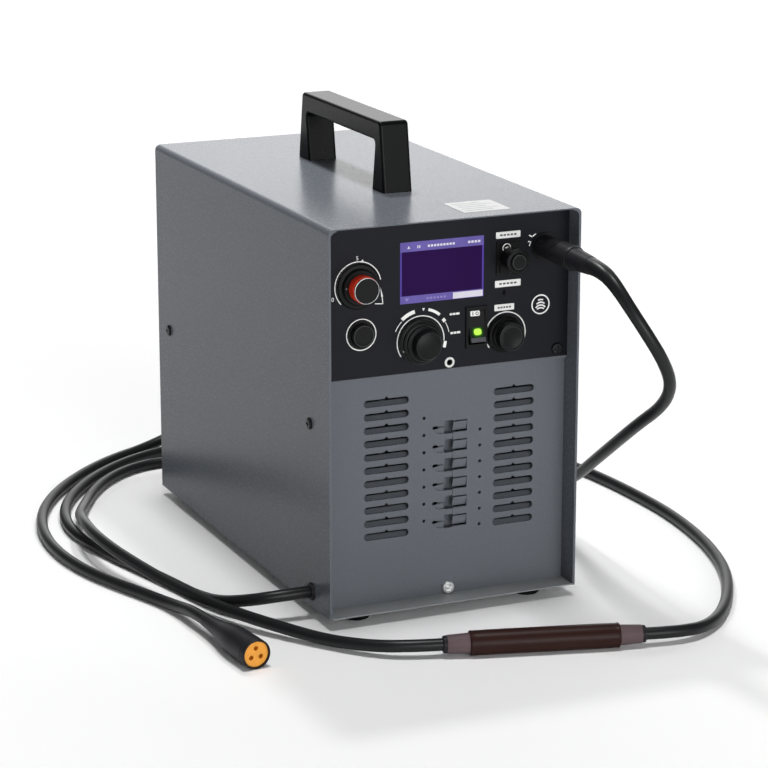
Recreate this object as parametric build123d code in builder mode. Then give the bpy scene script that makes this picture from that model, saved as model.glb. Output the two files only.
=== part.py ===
"""Compact wire-fed arc welder with its leads, built as separate pieces.

Millimetres. The origin is on the floor under the middle of the casing, +Z is up and the front faces -Y.
"""

import os
from math import cos, pi, radians, sin, tan

from build123d import *

os.makedirs("parts", exist_ok=True)

# Casing
case_width = 220.0
case_depth = 402.0
case_height = 319.0
foot_height = 9.0
sheet = 2.0
corner_radius = 5.0
front_recess = 21.0
rear_recess = 22.0
panel_gap = 0.2
fascia_stand = 4.0
fascia_thickness = 3.0
fascia_bottom = 202.1
upstand_height = 15.0
front_upstand_half = 60.0
lip_thickness = 1.0
side_tab_depth = 26.0

bottom = foot_height
top = foot_height + case_height
left = -case_width / 2
right = case_width / 2
front = -case_depth / 2
rear = case_depth / 2
inner_half = case_width / 2 - sheet
floor_top = bottom + sheet
lip_top = bottom + lip_thickness
roof = top - sheet
grille_y = front + front_recess
panel_y = grille_y - fascia_stand
rear_y = rear - rear_recess
panel_half = inner_half - panel_gap
panel_top = roof - panel_gap

# Fasteners
screw_radius = 2.4
screw_hole = 2.6
screw_head_radius = 4.8
screw_head_height = 2.2
foot_places = [(x, y) for x in (-77.0, 77.0) for y in (-175.0, 168.0)]
side_screw_places = [(left, -161.0, 163.0), (left, 172.0, 163.0)]
right_screw_places = [(right, -161.0, 163.0), (right, 172.0, 40.0)]
fascia_screw_spot = (98.5, 208.8)
grille_screw_spot = (3.0, 15.6)
grille_screw_head = 5.4
grille_screw_pin = 1.1
sunk_head = 4.2
foot_sink = 4.5
foot_bore = sunk_head + 1

# Carry handle
handle_width = 26.0
handle_height = 58.0
handle_gap = 41.5
handle_front = -87.0
handle_rear = 98.0
handle_lean = 8.5
handle_leg = 25.0
handle_leg_flare = 6.5
handle_corner = 4.0
handle_edge = 2.4
handle_screw_places = [
    (x, y) for x in (-6.5, 6.5) for y in (handle_front + handle_leg / 2, handle_rear - handle_leg / 2)
]

# Louvred front, each column as (x, width, height of the top row, pitch)
louvre_columns = [(-51.6, 39.4, 178.9, 11.15), (61.9, 36.4, 176.8, 11.1)]
louvre_rows = 11
louvre_height = 6.0
louvre_notch = 1.5
tongue_thickness = 1.2
tongue_depth = 8.0
tongue_rise = 3.1
tongue_overlap = 1.8
dot_columns = [(-18.4, 161.7, 14.5), (31.6, 146.9, 13.5)]
dot_rows = 7
dot_radius = 1.35

# Pressed vents between the louvres: a dished wedge, a window and a bridge in each row
vent_left = -11.2
vent_right = 20.0
vent_top = 151.9
vent_pitch = 16.0
vent_rows = 6
vent_height = 9.8
window_left = -0.2
window_right = 7.4
dish_depth = 1.2
dish_edge = [(0.6, 1.4), (0.3, -0.2), (1.4, -2.1), (3.4, -3.9), (6.2, -4.9)]
wedge_radius = 1.5
wedge_tip = 0.45
window_height = 11.2
bridge_slit = 1.1
bridge_thickness = 1.0
bridge_sink = 2.4
strip_overlap = 6.0
groove_depth = 0.5
strip_depth = 9.5

# Controls on the fascia, as (x, z)
screen_low = (-41.6, 258.7)
screen_high = (31.9, 308.7)
collar_knob = (-78.3, 277.4)
mode_spot = (-75.1, 237.7)
current_spot = (-24.6, 227.4)
voltage_spot = (50.6, 226.0)
rocker_spot = (25.3, 234.1)
inch_spot = (53.0, 288.9)
jack_spot = (1.7, 207.3)
torch_spot = (85.4, 295.5)
pot_hole = 3.7
mode_hole = 11.05
inch_hole = 6.6
jack_hole = 3.3
torch_hole = 11.1
rocker_hole_half = (9.1, 15.3)
lens_size = (6.6, 5.2)
lens_drop = 3.5
stem_radius = 3.0
running = 0.05

# Side door
door_low = (-60.0, 75.0)
door_high = (172.0, 305.0)
door_gap = 1.2
hinge_x = right + 3.0
hinge_y = 176.0
hinge_heights = (115.0, 265.0)
hinge_half = 20.0
knuckle_radius = 3.0
pin_radius = 1.5
latch_spot = (-44.0, 190.0)

# Wire compartment
divider_left = 36.0
divider_right = 38.0
spool_spot = (65.0, 190.0)
spool_radius = 100.0
spool_inner = 45.0
spool_outer = 97.0
spool_flange = 3.0
barrel_radius = 45.0
wound_radius = 84.0
hub_radius = 25.0
wire_x = torch_spot[0]
wire_z = torch_spot[1]
drive_radius = 12.5
press_radius = 11.0
roller_y = -95.0
drive_z = wire_z + drive_radius + 0.5
press_z = wire_z - press_radius - 0.5
arm_pivot = (-128.0, 268.0)
tension_spot = (83.0, -59.0)
spring_radius = 5.0
spring_wire = 0.8
spring_low = 242.2
spring_high = 261.8
spring_turns = 6

# Cooling and power pieces
fan_spot = (-55.0, 120.0)
fan_size = 80.0
fan_depth = 25.0
fan_bore = 38.0
board_z = 45.4
board_thickness = 1.6
gas_spot = (75.0, 43.0)
spigot_radius = 4.0
spigot_length = 16.0
spigot_hole = 6.7
air_hole = 3.6
air_rings = [(11.0, 6), (21.0, 12), (31.0, 18)]

# Leads
lead_radius = 5.0
lead_rest = lead_radius
plug_length = 54.0
relief_length = 27.0
side_exit = (left, -162.5, 21.8)
side_flange = 2.4
side_gland_hole = 6.8
rear_gland_hole = 8.2
rear_exit = (24.0, rear_y, 40.0)
rear_gland_length = 40.0
joint_centre = Vector(27.0, -309.0, 10.0)
joint_direction = Vector(156.0, -42.0, 0.0).normalized()
joint_half = 60.0
joint_radius = 10.0
sleeve_length = 21.0
connector_start = Vector(-203.0, -166.0, 12.0)
connector_direction = Vector(9.0, -90.0, 0.0).normalized()
connector_length = 90.0
connector_radius = 12.0
connector_bore = 10.6
insert_depth = 12.0
contact_radius = 1.9
contact_ring = 4.8


def save(block, name):
    """Label a finished piece and write it to its own file."""
    block.part.label = name
    export_step(block.part, f"parts/{name}.step")


def box(low, high, mode=Mode.ADD):
    """Add a block between two opposite corners to the piece being made."""
    size = [b - a for a, b in zip(low, high)]
    middle = tuple((a + b) / 2 for a, b in zip(low, high))
    with Locations(middle):
        Box(*size, mode=mode)


def rod(start, end, radius, mode=Mode.ADD):
    """Add a round rod between two points to the piece being made."""
    along = Vector(end) - Vector(start)
    with BuildSketch(Plane(origin=start, z_dir=along)) as section:
        Circle(radius)
    extrude(section.sketch, amount=along.length, mode=mode)


def turned(plane, outline, mode=Mode.ADD):
    """Revolve an outline of (radius, distance) points about the plane's own Y direction."""
    with BuildSketch(plane) as profile:
        Polygon(*outline, align=None)
    revolve(profile.sketch, axis=Axis(plane.origin, plane.y_dir), mode=mode)


def axis_plane(origin, direction):
    """A plane whose Y direction is a horizontal axis and whose X direction points up."""
    up = Vector(0, 0, 1)
    return Plane(origin=origin, x_dir=up, z_dir=up.cross(Vector(direction)))


def front_axis(spot, face_y=panel_y):
    """A plane for pieces turned about an axis out of the front at (x, z)."""
    return axis_plane((spot[0], face_y, spot[1]), (0, -1, 0))


def cross_axis(spot):
    """A plane for pieces turned about an axis along X at (y, z), with distances equal to X."""
    return axis_plane((0, spot[0], spot[1]), (1, 0, 0))


def fascia_hole(spot, radius):
    """Cut a round hole through the fascia."""
    x, z = spot
    rod((x, panel_y - 1, z), (x, panel_y + fascia_thickness + 1, z), radius, Mode.SUBTRACT)


grille_face = Plane(origin=(0, grille_y, 0), x_dir=(1, 0, 0), z_dir=(0, -1, 0))


# Base tray with upstands for the side walls and the front, and a thin lip ahead of the louvres
with BuildPart() as base_tray:
    box((-inner_half, front, bottom), (inner_half, rear, floor_top))
    for side in (-1, 1):
        wall = sorted((side * inner_half, side * (inner_half - sheet)))
        box((wall[0], -138, floor_top), (wall[1], 158, floor_top + upstand_height))
    box((-front_upstand_half, grille_y + sheet, floor_top),
        (front_upstand_half, grille_y + 2 * sheet, floor_top + upstand_height))
    box((-inner_half, front, lip_top), (inner_half, grille_y + sheet, floor_top), Mode.SUBTRACT)
    for x, y in foot_places:
        rod((x, y, bottom), (x, y, floor_top), screw_hole, Mode.SUBTRACT)
    x, z = grille_screw_spot
    rod((x, grille_y, z), (x, grille_y + 3 * sheet, z), screw_hole, Mode.SUBTRACT)
save(base_tray, "base_tray")

# Folded cover: the roof and both sides in one sheet, with a window for the wire door and a thin front lip
with BuildPart() as wrap_cover:
    with BuildSketch(Plane.XZ) as wrap_section:
        with Locations((0, bottom + case_height / 2)):
            Rectangle(case_width, case_height)
        fillet(wrap_section.vertices().group_by(Axis.Y)[-1], corner_radius)
        with Locations((0, bottom + (case_height - sheet) / 2)):
            Rectangle(2 * inner_half, case_height - sheet, mode=Mode.SUBTRACT)
        fillet(wrap_section.vertices().filter_by_position(Axis.Y, roof - 0.1, roof + 0.1), corner_radius)
    extrude(amount=case_depth / 2, both=True)
    lip_half = inner_half - corner_radius
    box((-lip_half, front, roof), (lip_half, panel_y, top - lip_thickness), Mode.SUBTRACT)
    with BuildSketch(Plane.YZ.offset(right)) as window:
        with Locations(((door_low[0] + door_high[0]) / 2, (door_low[1] + door_high[1]) / 2)):
            Rectangle(door_high[0] - door_low[0], door_high[1] - door_low[1])
    extrude(amount=-2 * sheet, mode=Mode.SUBTRACT)
    for x, y, z in side_screw_places + right_screw_places:
        rod((x - 2 * sheet, y, z), (x + 2 * sheet, y, z), screw_hole, Mode.SUBTRACT)
    rod((left - 1, *side_exit[1:]), (left + 2 * sheet, *side_exit[1:]), side_gland_hole, Mode.SUBTRACT)
    for x, y in handle_screw_places:
        rod((x, y, roof - 1), (x, y, top + 1), screw_hole, Mode.SUBTRACT)
save(wrap_cover, "wrap_cover")

# Rear panel with the fan's air holes and a hole for each fitting
with BuildPart() as rear_panel:
    box((-panel_half, rear_y - sheet, floor_top), (panel_half, rear_y, panel_top))
    fillet(rear_panel.edges().filter_by(Axis.Y).group_by(Axis.Z)[-1], corner_radius + panel_gap)
    fan_face = Plane(origin=(fan_spot[0], rear_y, fan_spot[1]), x_dir=(-1, 0, 0), z_dir=(0, 1, 0))
    with BuildSketch(fan_face) as air_holes:
        for ring_radius, holes in air_rings:
            with PolarLocations(ring_radius, holes):
                Circle(air_hole)
    extrude(amount=-2 * sheet, mode=Mode.SUBTRACT)
    x, y, z = rear_exit
    rod((x, y - 2 * sheet, z), (x, y + 1, z), rear_gland_hole, Mode.SUBTRACT)
    x, z = gas_spot
    rod((x, rear_y - 2 * sheet, z), (x, rear_y + 1, z), spigot_hole, Mode.SUBTRACT)
    for x, y, z in side_screw_places[1:] + right_screw_places[1:]:
        inner = sorted((x - sheet * x / right, x - 2 * sheet * x / right))
        box((inner[0], rear_y - 18, z - 20), (inner[1], rear_y - sheet, z + 20))
        rod((inner[0] - 1, y, z), (inner[1] + 1, y, z), screw_hole, Mode.SUBTRACT)
save(rear_panel, "rear_panel")

# Louvred lower front: each slot has a tongue that leans inwards from its lower edge, and the top edge
# is folded forwards into a ledge under the fascia
with BuildPart() as front_grille:
    grille_top = fascia_bottom - panel_gap
    box((-panel_half, grille_y, lip_top), (panel_half, grille_y + sheet, grille_top))
    box((-panel_half, panel_y + 0.6, grille_top - sheet), (panel_half, grille_y, grille_top))
    vent_heights = [vent_top - row * vent_pitch for row in range(vent_rows)]
    groove_low = (window_left, grille_y, vent_heights[-1] - vent_height / 2)
    groove_high = (window_right, grille_y + groove_depth, vent_heights[0] + vent_height / 2)
    box(groove_low, groove_high, Mode.SUBTRACT)
    for z in vent_heights:
        with BuildSketch(grille_face) as dish:
            Polygon(
                *[(vent_left + across, z + rise) for across, rise in dish_edge],
                (window_left + 0.5, z - vent_height / 2),
                (window_left + 0.5, z + 1.4),
                align=None,
            )
        extrude(amount=-dish_depth, mode=Mode.SUBTRACT)
        with BuildSketch(grille_face) as wedge:
            with Locations((vent_left + wedge_radius + 0.3, z + 0.4)):
                Circle(wedge_radius)
            with Locations((window_left - 0.9, z + 0.4)):
                Circle(wedge_tip)
            make_hull()
        extrude(amount=-2 * sheet, mode=Mode.SUBTRACT)
    with BuildSketch(grille_face) as slots:
        for x, width, first, pitch in louvre_columns:
            heights = [first - row * pitch for row in range(louvre_rows)]
            with Locations([(x, z) for z in heights]):
                SlotOverall(width, louvre_height)
            with Locations([(x, z + louvre_height / 2) for z in heights]):
                Circle(louvre_notch)
        for z in vent_heights:
            with Locations(((window_left + window_right) / 2, z)):
                Rectangle(window_right - window_left, window_height)
            with Locations(((window_right + vent_right) / 2, z)):
                Rectangle(vent_right - window_right, vent_height)
        for x, first, pitch in dot_columns:
            with Locations([(x, first - row * pitch) for row in range(dot_rows)]):
                Circle(dot_radius)
        with Locations(grille_screw_spot):
            Circle(screw_hole)
    extrude(amount=-sheet, mode=Mode.SUBTRACT)
    for x, width, first, pitch in louvre_columns:
        tongue_width = width + 2 * tongue_overlap
        with BuildSketch(Plane.YZ.offset(x - tongue_width / 2)) as tongues:
            for row in range(louvre_rows):
                low = first - row * pitch - louvre_height / 2 - 0.5
                high = low + tongue_rise
                Polygon(
                    (grille_y + sheet - tongue_thickness, low),
                    (grille_y + sheet + 0.3, low),
                    (grille_y + tongue_depth, high - tongue_thickness),
                    (grille_y + tongue_depth - tongue_thickness, high),
                    align=None,
                )
        extrude(amount=tongue_width)
    with BuildSketch(Plane.YZ.offset(window_right + 0.5)) as bridges:
        bridge_rise = vent_height / 2 - bridge_slit
        for z in vent_heights:
            Polygon(
                (grille_y + 0.1, z + bridge_rise),
                (grille_y + 0.1 + bridge_thickness, z + bridge_rise),
                (grille_y + bridge_sink + bridge_thickness, z - bridge_rise),
                (grille_y + bridge_sink, z - bridge_rise),
                align=None,
            )
    extrude(amount=vent_right - window_right)
    strip_low = (window_left - 2, grille_y + strip_depth, vent_heights[-1] - vent_height)
    strip_rear = grille_y + strip_depth + sheet / 2
    box(strip_low, (window_right + strip_overlap, strip_rear, vent_heights[0] + vent_height))
    for z in [vent_heights[0] + 8.2] + [z - vent_pitch / 2 for z in vent_heights]:
        box((window_left, grille_y + sheet, z - 1.5), (window_right, grille_y + strip_depth, z + 1.5))
    for x, y, z in (side_screw_places[0], right_screw_places[0]):
        inner = sorted((x - sheet * x / right, x - 2 * sheet * x / right))
        box((inner[0], grille_y + sheet, z - 40), (inner[1], grille_y + side_tab_depth, z + 30))
        rod((inner[0] - 1, y, z), (inner[1] + 1, y, z), screw_hole, Mode.SUBTRACT)
save(front_grille, "front_grille")

# Black fascia that carries the controls
with BuildPart() as control_fascia:
    box((-panel_half, panel_y, fascia_bottom), (panel_half, panel_y + fascia_thickness, panel_top))
    fillet(control_fascia.edges().filter_by(Axis.Y).group_by(Axis.Z)[-1], corner_radius + panel_gap)
    box(
        (screen_low[0], panel_y - 1, screen_low[1]),
        (screen_high[0], panel_y + 2 * fascia_thickness, screen_high[1]),
        Mode.SUBTRACT,
    )
    for spot in (collar_knob, current_spot, voltage_spot):
        fascia_hole(spot, pot_hole)
    fascia_hole(mode_spot, mode_hole)
    fascia_hole(inch_spot, inch_hole)
    fascia_hole(jack_spot, jack_hole)
    fascia_hole(torch_spot, torch_hole)
    fascia_hole(fascia_screw_spot, screw_hole)
    x, z = rocker_spot
    across, up = rocker_hole_half
    box((x - across, panel_y - 1, z - up), (x + across, panel_y + 6, z + up), Mode.SUBTRACT)
save(control_fascia, "control_fascia")

# Upright plate between the electronics and the wire compartment
with BuildPart() as centre_divider:
    box((divider_left, -152, floor_top), (divider_right, 174, 318))
    box((divider_left - 12, -150, floor_top), (divider_left, 150, floor_top + sheet))
    rod((divider_left - 1, roller_y, drive_z - 2.4), (divider_right + 1, roller_y, drive_z - 2.4), 18.6,
        Mode.SUBTRACT)
save(centre_divider, "centre_divider")

# Carry handle: a squared bridge with legs that widen downwards
with BuildPart() as carry_handle:
    with BuildSketch(Plane.YZ) as bridge:
        Polygon(
            (handle_front, top),
            (handle_front + handle_lean, top + handle_height),
            (handle_rear - handle_lean, top + handle_height),
            (handle_rear, top),
            align=None,
        )
        Polygon(
            (handle_front + handle_leg, top),
            (handle_front + handle_leg - handle_leg_flare, top + handle_gap),
            (handle_rear - handle_leg + handle_leg_flare, top + handle_gap),
            (handle_rear - handle_leg, top),
            align=None,
            mode=Mode.SUBTRACT,
        )
        fillet(bridge.vertices().filter_by_position(Axis.Y, top + 1, top + handle_height + 1), handle_corner)
    extrude(amount=handle_width / 2, both=True)
    side_edges = carry_handle.faces().filter_by(Axis.X).edges()
    fillet(side_edges.filter_by_position(Axis.Z, top + 0.5, top + handle_height + 1), handle_edge)
    for x, y in handle_screw_places:
        rod((x, y, top), (x, y, top + 13), screw_radius + 0.1, Mode.SUBTRACT)
save(carry_handle, "carry_handle")

# Rubber feet, each with a sunk screw
with BuildPart() as rubber_feet:
    for x, y in foot_places:
        foot_axis = Plane(origin=(x, y, 0), x_dir=(1, 0, 0), z_dir=(0, -1, 0))
        turned(
            foot_axis,
            [(foot_bore, 0), (11.0, 0), (12.0, 1.2), (13.0, bottom), (screw_hole, bottom),
             (screw_hole, foot_sink), (foot_bore, foot_sink)],
        )
save(rubber_feet, "rubber_feet")

# Screws that hold the feet from below and the handle from under the roof
with BuildPart() as m5_screws:
    seats = [(x, y, foot_sink) for x, y in foot_places] + [(x, y, roof) for x, y in handle_screw_places]
    for x, y, z in seats:
        screw_axis = Plane(origin=(x, y, z), x_dir=(1, 0, 0), z_dir=(0, -1, 0))
        turned(
            screw_axis,
            [(0, -1), (1.8, -1), (1.8, -3), (sunk_head, -3), (sunk_head, 0), (screw_radius, 0),
             (screw_radius, 11.5), (0, 11.5)],
        )
save(m5_screws, "m5_screws")

# Dark slotted screws in the sides and the fascia
with BuildPart() as panel_screws:
    seats = [((x, y, z), (x / right, 0, 0)) for x, y, z in side_screw_places + right_screw_places]
    seats.append(((fascia_screw_spot[0], panel_y, fascia_screw_spot[1]), (0, -1, 0)))
    for seat, outwards in seats:
        head = screw_head_height
        turned(
            axis_plane(seat, outwards),
            [(0, -9), (screw_radius, -9), (screw_radius, 0), (screw_head_radius, 0),
             (screw_head_radius, head - 0.8), (screw_head_radius - 0.9, head), (0, head)],
        )
        face = axis_plane(seat, outwards)
        with BuildSketch(Plane(origin=face.origin, x_dir=face.x_dir, z_dir=face.y_dir).offset(head)) as cross:
            Rectangle(6.4, 1.2)
            Rectangle(1.2, 6.4)
        extrude(amount=-1.0, mode=Mode.SUBTRACT)
save(panel_screws, "panel_screws")

# Bright socket screw with a pin in its socket, at the bottom of the front
with BuildPart() as grille_screw:
    turned(
        front_axis(grille_screw_spot, grille_y),
        [(0, -8), (screw_radius, -8), (screw_radius, 0), (grille_screw_head, 0), (grille_screw_head, 2.2),
         (grille_screw_head - 0.9, 3.2), (0, 3.2)],
    )
    with BuildSketch(grille_face.offset(3.2)) as socket:
        with Locations(grille_screw_spot):
            RegularPolygon(3.2, 6)
            Circle(grille_screw_pin, mode=Mode.SUBTRACT)
    extrude(amount=-2.0, mode=Mode.SUBTRACT)
save(grille_screw, "grille_screw")

# Side door with hinge leaves, and its fixed hinge halves
with BuildPart() as wire_door:
    low = (door_low[0] + door_gap, door_low[1] + door_gap)
    high = (door_high[0] - door_gap, door_high[1] - door_gap)
    box((right - sheet, *low), (right, *high))
    box((right, low[0] + 28, low[1] + 24), (right + 0.8, high[0] - 28, high[1] - 24))
    for z in hinge_heights:
        with BuildSketch(Plane.XY.offset(z - hinge_half)) as leaf:
            Polygon(
                (right - 0.5, hinge_y - 18),
                (right + 1.8, hinge_y - 18),
                (right + 1.8, hinge_y),
                (right + 0.4, hinge_y),
                (right + 0.4, high[0] - 0.2),
                (right - 0.5, high[0] - 0.2),
                align=None,
            )
        extrude(amount=2 * hinge_half)
        box((right + 0.2, hinge_y - 3.6, z + 7.8), (right + 4, hinge_y + 4, z + 21), Mode.SUBTRACT)
        box((right + 0.2, hinge_y - 3.6, z - 21), (right + 4, hinge_y + 4, z - 7.8), Mode.SUBTRACT)
        rod((hinge_x, hinge_y, z - 7.8), (hinge_x, hinge_y, z + 7.8), knuckle_radius)
        rod((hinge_x, hinge_y, z - 9), (hinge_x, hinge_y, z + 9), pin_radius + running, Mode.SUBTRACT)
    y, z = latch_spot
    rod((right - 3 * sheet, y, z), (right + 3 * sheet, y, z), 5.05, Mode.SUBTRACT)
save(wire_door, "wire_door")

with BuildPart() as door_hinges:
    for z in hinge_heights:
        box((right, hinge_y, z - hinge_half), (right + 1.8, hinge_y + 16, z + hinge_half))
        box((right - 1, hinge_y - 1, z - 8.2), (right + 3, hinge_y + 3.5, z + 8.2), Mode.SUBTRACT)
        for side in (-1, 1):
            start = (hinge_x, hinge_y, z + side * 8.2)
            rod(start, (hinge_x, hinge_y, z + side * hinge_half), knuckle_radius)
        rod((hinge_x, hinge_y, z - hinge_half), (hinge_x, hinge_y, z + hinge_half), pin_radius)
save(door_hinges, "door_hinges")

# Quarter-turn latch with a coin slot and a tongue inside
with BuildPart() as door_latch:
    y, z = latch_spot
    turned(
        cross_axis(latch_spot),
        [(0, 101), (5.0, 101), (5.0, right + 0.4), (11.0, right + 0.4), (11.0, 114.6), (10.2, 115.4),
         (0, 115.4)],
    )
    box((101.5, y - 6, z), (105.0, y + 6, z + 23))
    box((113.4, y - 8, z - 1.1), (117, y + 8, z + 1.1), Mode.SUBTRACT)
save(door_latch, "door_latch")

# Screen and the boards behind it
with BuildPart() as display_panel:
    box((screen_low[0] + 0.1, panel_y + 0.5, screen_low[1] + 0.1),
        (screen_high[0] - 0.1, panel_y + 5.5, screen_high[1] - 0.1))
    box((screen_low[0] - 3, panel_y + fascia_thickness, screen_low[1] - 3),
        (screen_high[0] + 3, panel_y + 8, screen_high[1] + 3))
save(display_panel, "display_panel")

with BuildPart() as control_board:
    board_front = panel_y + 25
    box((-100, board_front, 208), (30, board_front + board_thickness, 318))
    for x, z in ((-96, 312), (-96, 214), (14, 316), (-48, 212)):
        rod((x, panel_y + fascia_thickness, z), (x, board_front, z), 3.0)
    for x, z, width, tall in ((-20, 262, 26, 26), (-70, 290, 14, 20), (-60, 240, 30, 10), (10, 230, 12, 18)):
        box((x - width / 2, board_front + board_thickness, z - tall / 2),
            (x + width / 2, board_front + board_thickness + 4, z + tall / 2))
save(control_board, "control_board")

# Knobs. Each stem turns in the bush of its potentiometer
with BuildPart() as potentiometers:
    for spot in (collar_knob, current_spot, voltage_spot):
        bore = stem_radius + running
        turned(
            front_axis(spot),
            [(bore, 6), (3.6, 6), (3.6, 2.4), (5.4, 2.4), (5.4, 0), (3.6, 0), (3.6, -3), (8.5, -3),
             (8.5, -13), (0, -13), (0, -12), (bore, -12)],
        )
save(potentiometers, "potentiometers")

with BuildPart() as collar_knob_base:
    turned(
        front_axis(collar_knob),
        [(6, 0), (18.4, 0), (18.4, 2.6), (17.5, 3.6), (14.8, 3.8), (14.6, 6.6), (13.8, 7.4), (6, 7.4)],
    )
save(collar_knob_base, "collar_knob_base")

with BuildPart() as red_collar:
    turned(front_axis(collar_knob), [(6.5, 8.2), (10.9, 8.2), (10.9, 17.0), (6.5, 17.0)])
save(red_collar, "red_collar")

with BuildPart() as collar_knob_cap:
    turned(
        front_axis(collar_knob),
        [(0, -11), (stem_radius, -11), (stem_radius, 8.2), (6.45, 8.2), (6.45, 17), (10.4, 17), (10.4, 18.6),
         (9.8, 19.2), (0, 19.2)],
    )
save(collar_knob_cap, "collar_knob_cap")

with BuildPart() as current_knob:
    turned(
        front_axis(current_spot),
        [(0, -11), (stem_radius, -11), (stem_radius, 7.5), (7, 7.5), (7, 0.6), (18.5, 0.6), (18.5, 4.2),
         (17.8, 4.9), (16.6, 5.0), (16.6, 7.5), (16.0, 8.2), (14.6, 8.3), (14.4, 10.8), (12.0, 11.8),
         (10.9, 18.6), (10.3, 19.2), (0, 19.2)],
    )
save(current_knob, "current_knob")

with BuildPart() as voltage_knob:
    turned(
        front_axis(voltage_spot),
        [(0, -11), (stem_radius, -11), (stem_radius, 6.5), (7, 6.5), (7, 0.6), (15.2, 0.6), (15.2, 3.4),
         (14.6, 4.2), (13.4, 4.6), (13.0, 7.0), (11.8, 7.6), (11.2, 14.4), (10.6, 15.0), (9.2, 15.0),
         (8.6, 14.4), (0, 14.4)],
    )
save(voltage_knob, "voltage_knob")

# Round push button in its housing
with BuildPart() as mode_button:
    turned(
        front_axis(mode_spot),
        [(0, -6), (9.5, -6), (9.5, 5.0), (8.8, 5.7), (7.6, 5.7), (7.0, 5.2), (0, 5.2)],
    )
save(mode_button, "mode_button")

with BuildPart() as mode_button_housing:
    turned(
        front_axis(mode_spot),
        [(9.6, 1.2), (11.6, 1.2), (12.2, 0), (11, 0), (11, -18), (0, -18), (0, -14), (9.6, -14)],
    )
save(mode_button_housing, "mode_button_housing")

# Wire inch button on its stepped rectangular plate
with BuildPart() as inch_plate:
    x, z = inch_spot
    box((x - 10.4, panel_y - 1.2, z - 13.2), (x + 10.4, panel_y, z + 13.2))
    box((x - 7.6, panel_y - 2.5, z - 12.0), (x + 7.6, panel_y, z + 12.0))
    turned(
        front_axis(inch_spot),
        [(0, -16), (6.5, -16), (6.5, 0), (8.2, 0), (8.2, 12.4), (0, 12.4)],
    )
    rod((x, panel_y + 14, z), (x, panel_y - 13, z), 4.05, Mode.SUBTRACT)
save(inch_plate, "inch_plate")

with BuildPart() as inch_button:
    turned(
        front_axis(inch_spot),
        [(0, -9), (4, -9), (4, 16.0), (9.6, 16.0), (10.2, 16.6), (10.2, 19.0), (9.6, 19.6), (7.6, 19.8),
         (7.4, 19.0), (6.8, 19.0), (6.6, 20.6), (6.0, 21.2), (0, 21.2)],
    )
save(inch_button, "inch_button")

# Rocker switch with a green lamp in its lower face
rocker_pivot_y = panel_y + 3
rocker_arc = 13.7
lens_plane = Plane(
    origin=(rocker_spot[0], panel_y - 1.8 - lens_drop * 4.4 / 14, rocker_spot[1] - lens_drop),
    x_dir=(1, 0, 0),
    z_dir=(0, -14, 4.4),
)
with BuildPart() as rocker_frame:
    x, z = rocker_spot
    box((x - 9.4, panel_y - 1.8, z - 17), (x + 9.4, panel_y, z + 17))
    box((x - 9, panel_y, z - 15.2), (x + 9, panel_y + 20, z + 15.2))
    box((x - 7.2, panel_y - 2, z - 14), (x + 7.2, panel_y + 17, z + 14), Mode.SUBTRACT)
    rod((x - 8.4, rocker_pivot_y, z), (x + 8.4, rocker_pivot_y, z), pin_radius + running, Mode.SUBTRACT)
save(rocker_frame, "rocker_frame")

with BuildPart() as rocker_lens:
    with BuildSketch(lens_plane.offset(-1.6)):
        RectangleRounded(*lens_size, 2.2)
    extrude(amount=2.0)
save(rocker_lens, "rocker_lens")

with BuildPart() as power_rocker:
    x, z = rocker_spot
    with BuildSketch(Plane.YZ.offset(x)) as rocker_section:
        with Locations((rocker_pivot_y, z)):
            Circle(rocker_arc)
        Polygon(
            (panel_y - 6.2, z - 14),
            (panel_y - 1.8, z),
            (panel_y - 0.4, z + 14),
            (panel_y + 9, z + 14),
            (panel_y + 9, z - 14),
            align=None,
            mode=Mode.INTERSECT,
        )
    extrude(amount=7.0, both=True)
    rod((x - 8.3, rocker_pivot_y, z), (x + 8.3, rocker_pivot_y, z), pin_radius)
    add(rocker_lens.part, mode=Mode.SUBTRACT)
save(power_rocker, "power_rocker")

# Small jack with a white ring
with BuildPart() as jack_socket:
    turned(
        front_axis(jack_spot),
        [(2.7, 1.0), (4.3, 0.8), (4.3, 0), (3.2, 0), (3.2, -3), (4.5, -3), (4.5, -16), (0, -16), (0, -14),
         (1.8, -14), (1.8, 0.0)],
    )
save(jack_socket, "jack_socket")

# Torch socket behind the fascia, and the plug in it
with BuildPart() as torch_socket:
    turned(
        front_axis(torch_spot),
        [(1.5, -36), (6, -36), (6, -30), (13.5, -30), (13.5, -6.5), (19, -6.5), (19, -3), (10.9, -3),
         (10.9, 0.8), (8, 0.8), (8, -24), (1.5, -24)],
    )
save(torch_socket, "torch_socket")

with BuildPart() as torch_plug:
    turned(
        front_axis(torch_spot),
        [(0, -22), (7.8, -22), (7.8, 1.2), (9.0, 1.2), (9.4, 27.4), (9.1, 28), (9.1, 28.6), (9.7, 29.2),
         (10.2, plug_length - 2.5), (9.7, plug_length), (0, plug_length)],
    )
save(torch_plug, "torch_plug")

with BuildPart() as torch_relief:
    end = plug_length + relief_length
    turned(
        front_axis(torch_spot),
        [(0, plug_length), (9.0, plug_length), (9.0, plug_length + 2), (8.7, plug_length + 5), (7.4, end - 1),
         (7.0, end), (0, end)],
    )
save(torch_relief, "torch_relief")

# Inline joint on the floor, with a tapered sleeve at each end
joint_axis = axis_plane(joint_centre, joint_direction)
with BuildPart() as joint_body:
    turned(
        joint_axis,
        [(0, -joint_half), (9.4, -joint_half), (joint_radius, 0.8 - joint_half),
         (joint_radius, joint_half - 0.8), (9.4, joint_half), (0, joint_half)],
    )
save(joint_body, "joint_body")

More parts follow.
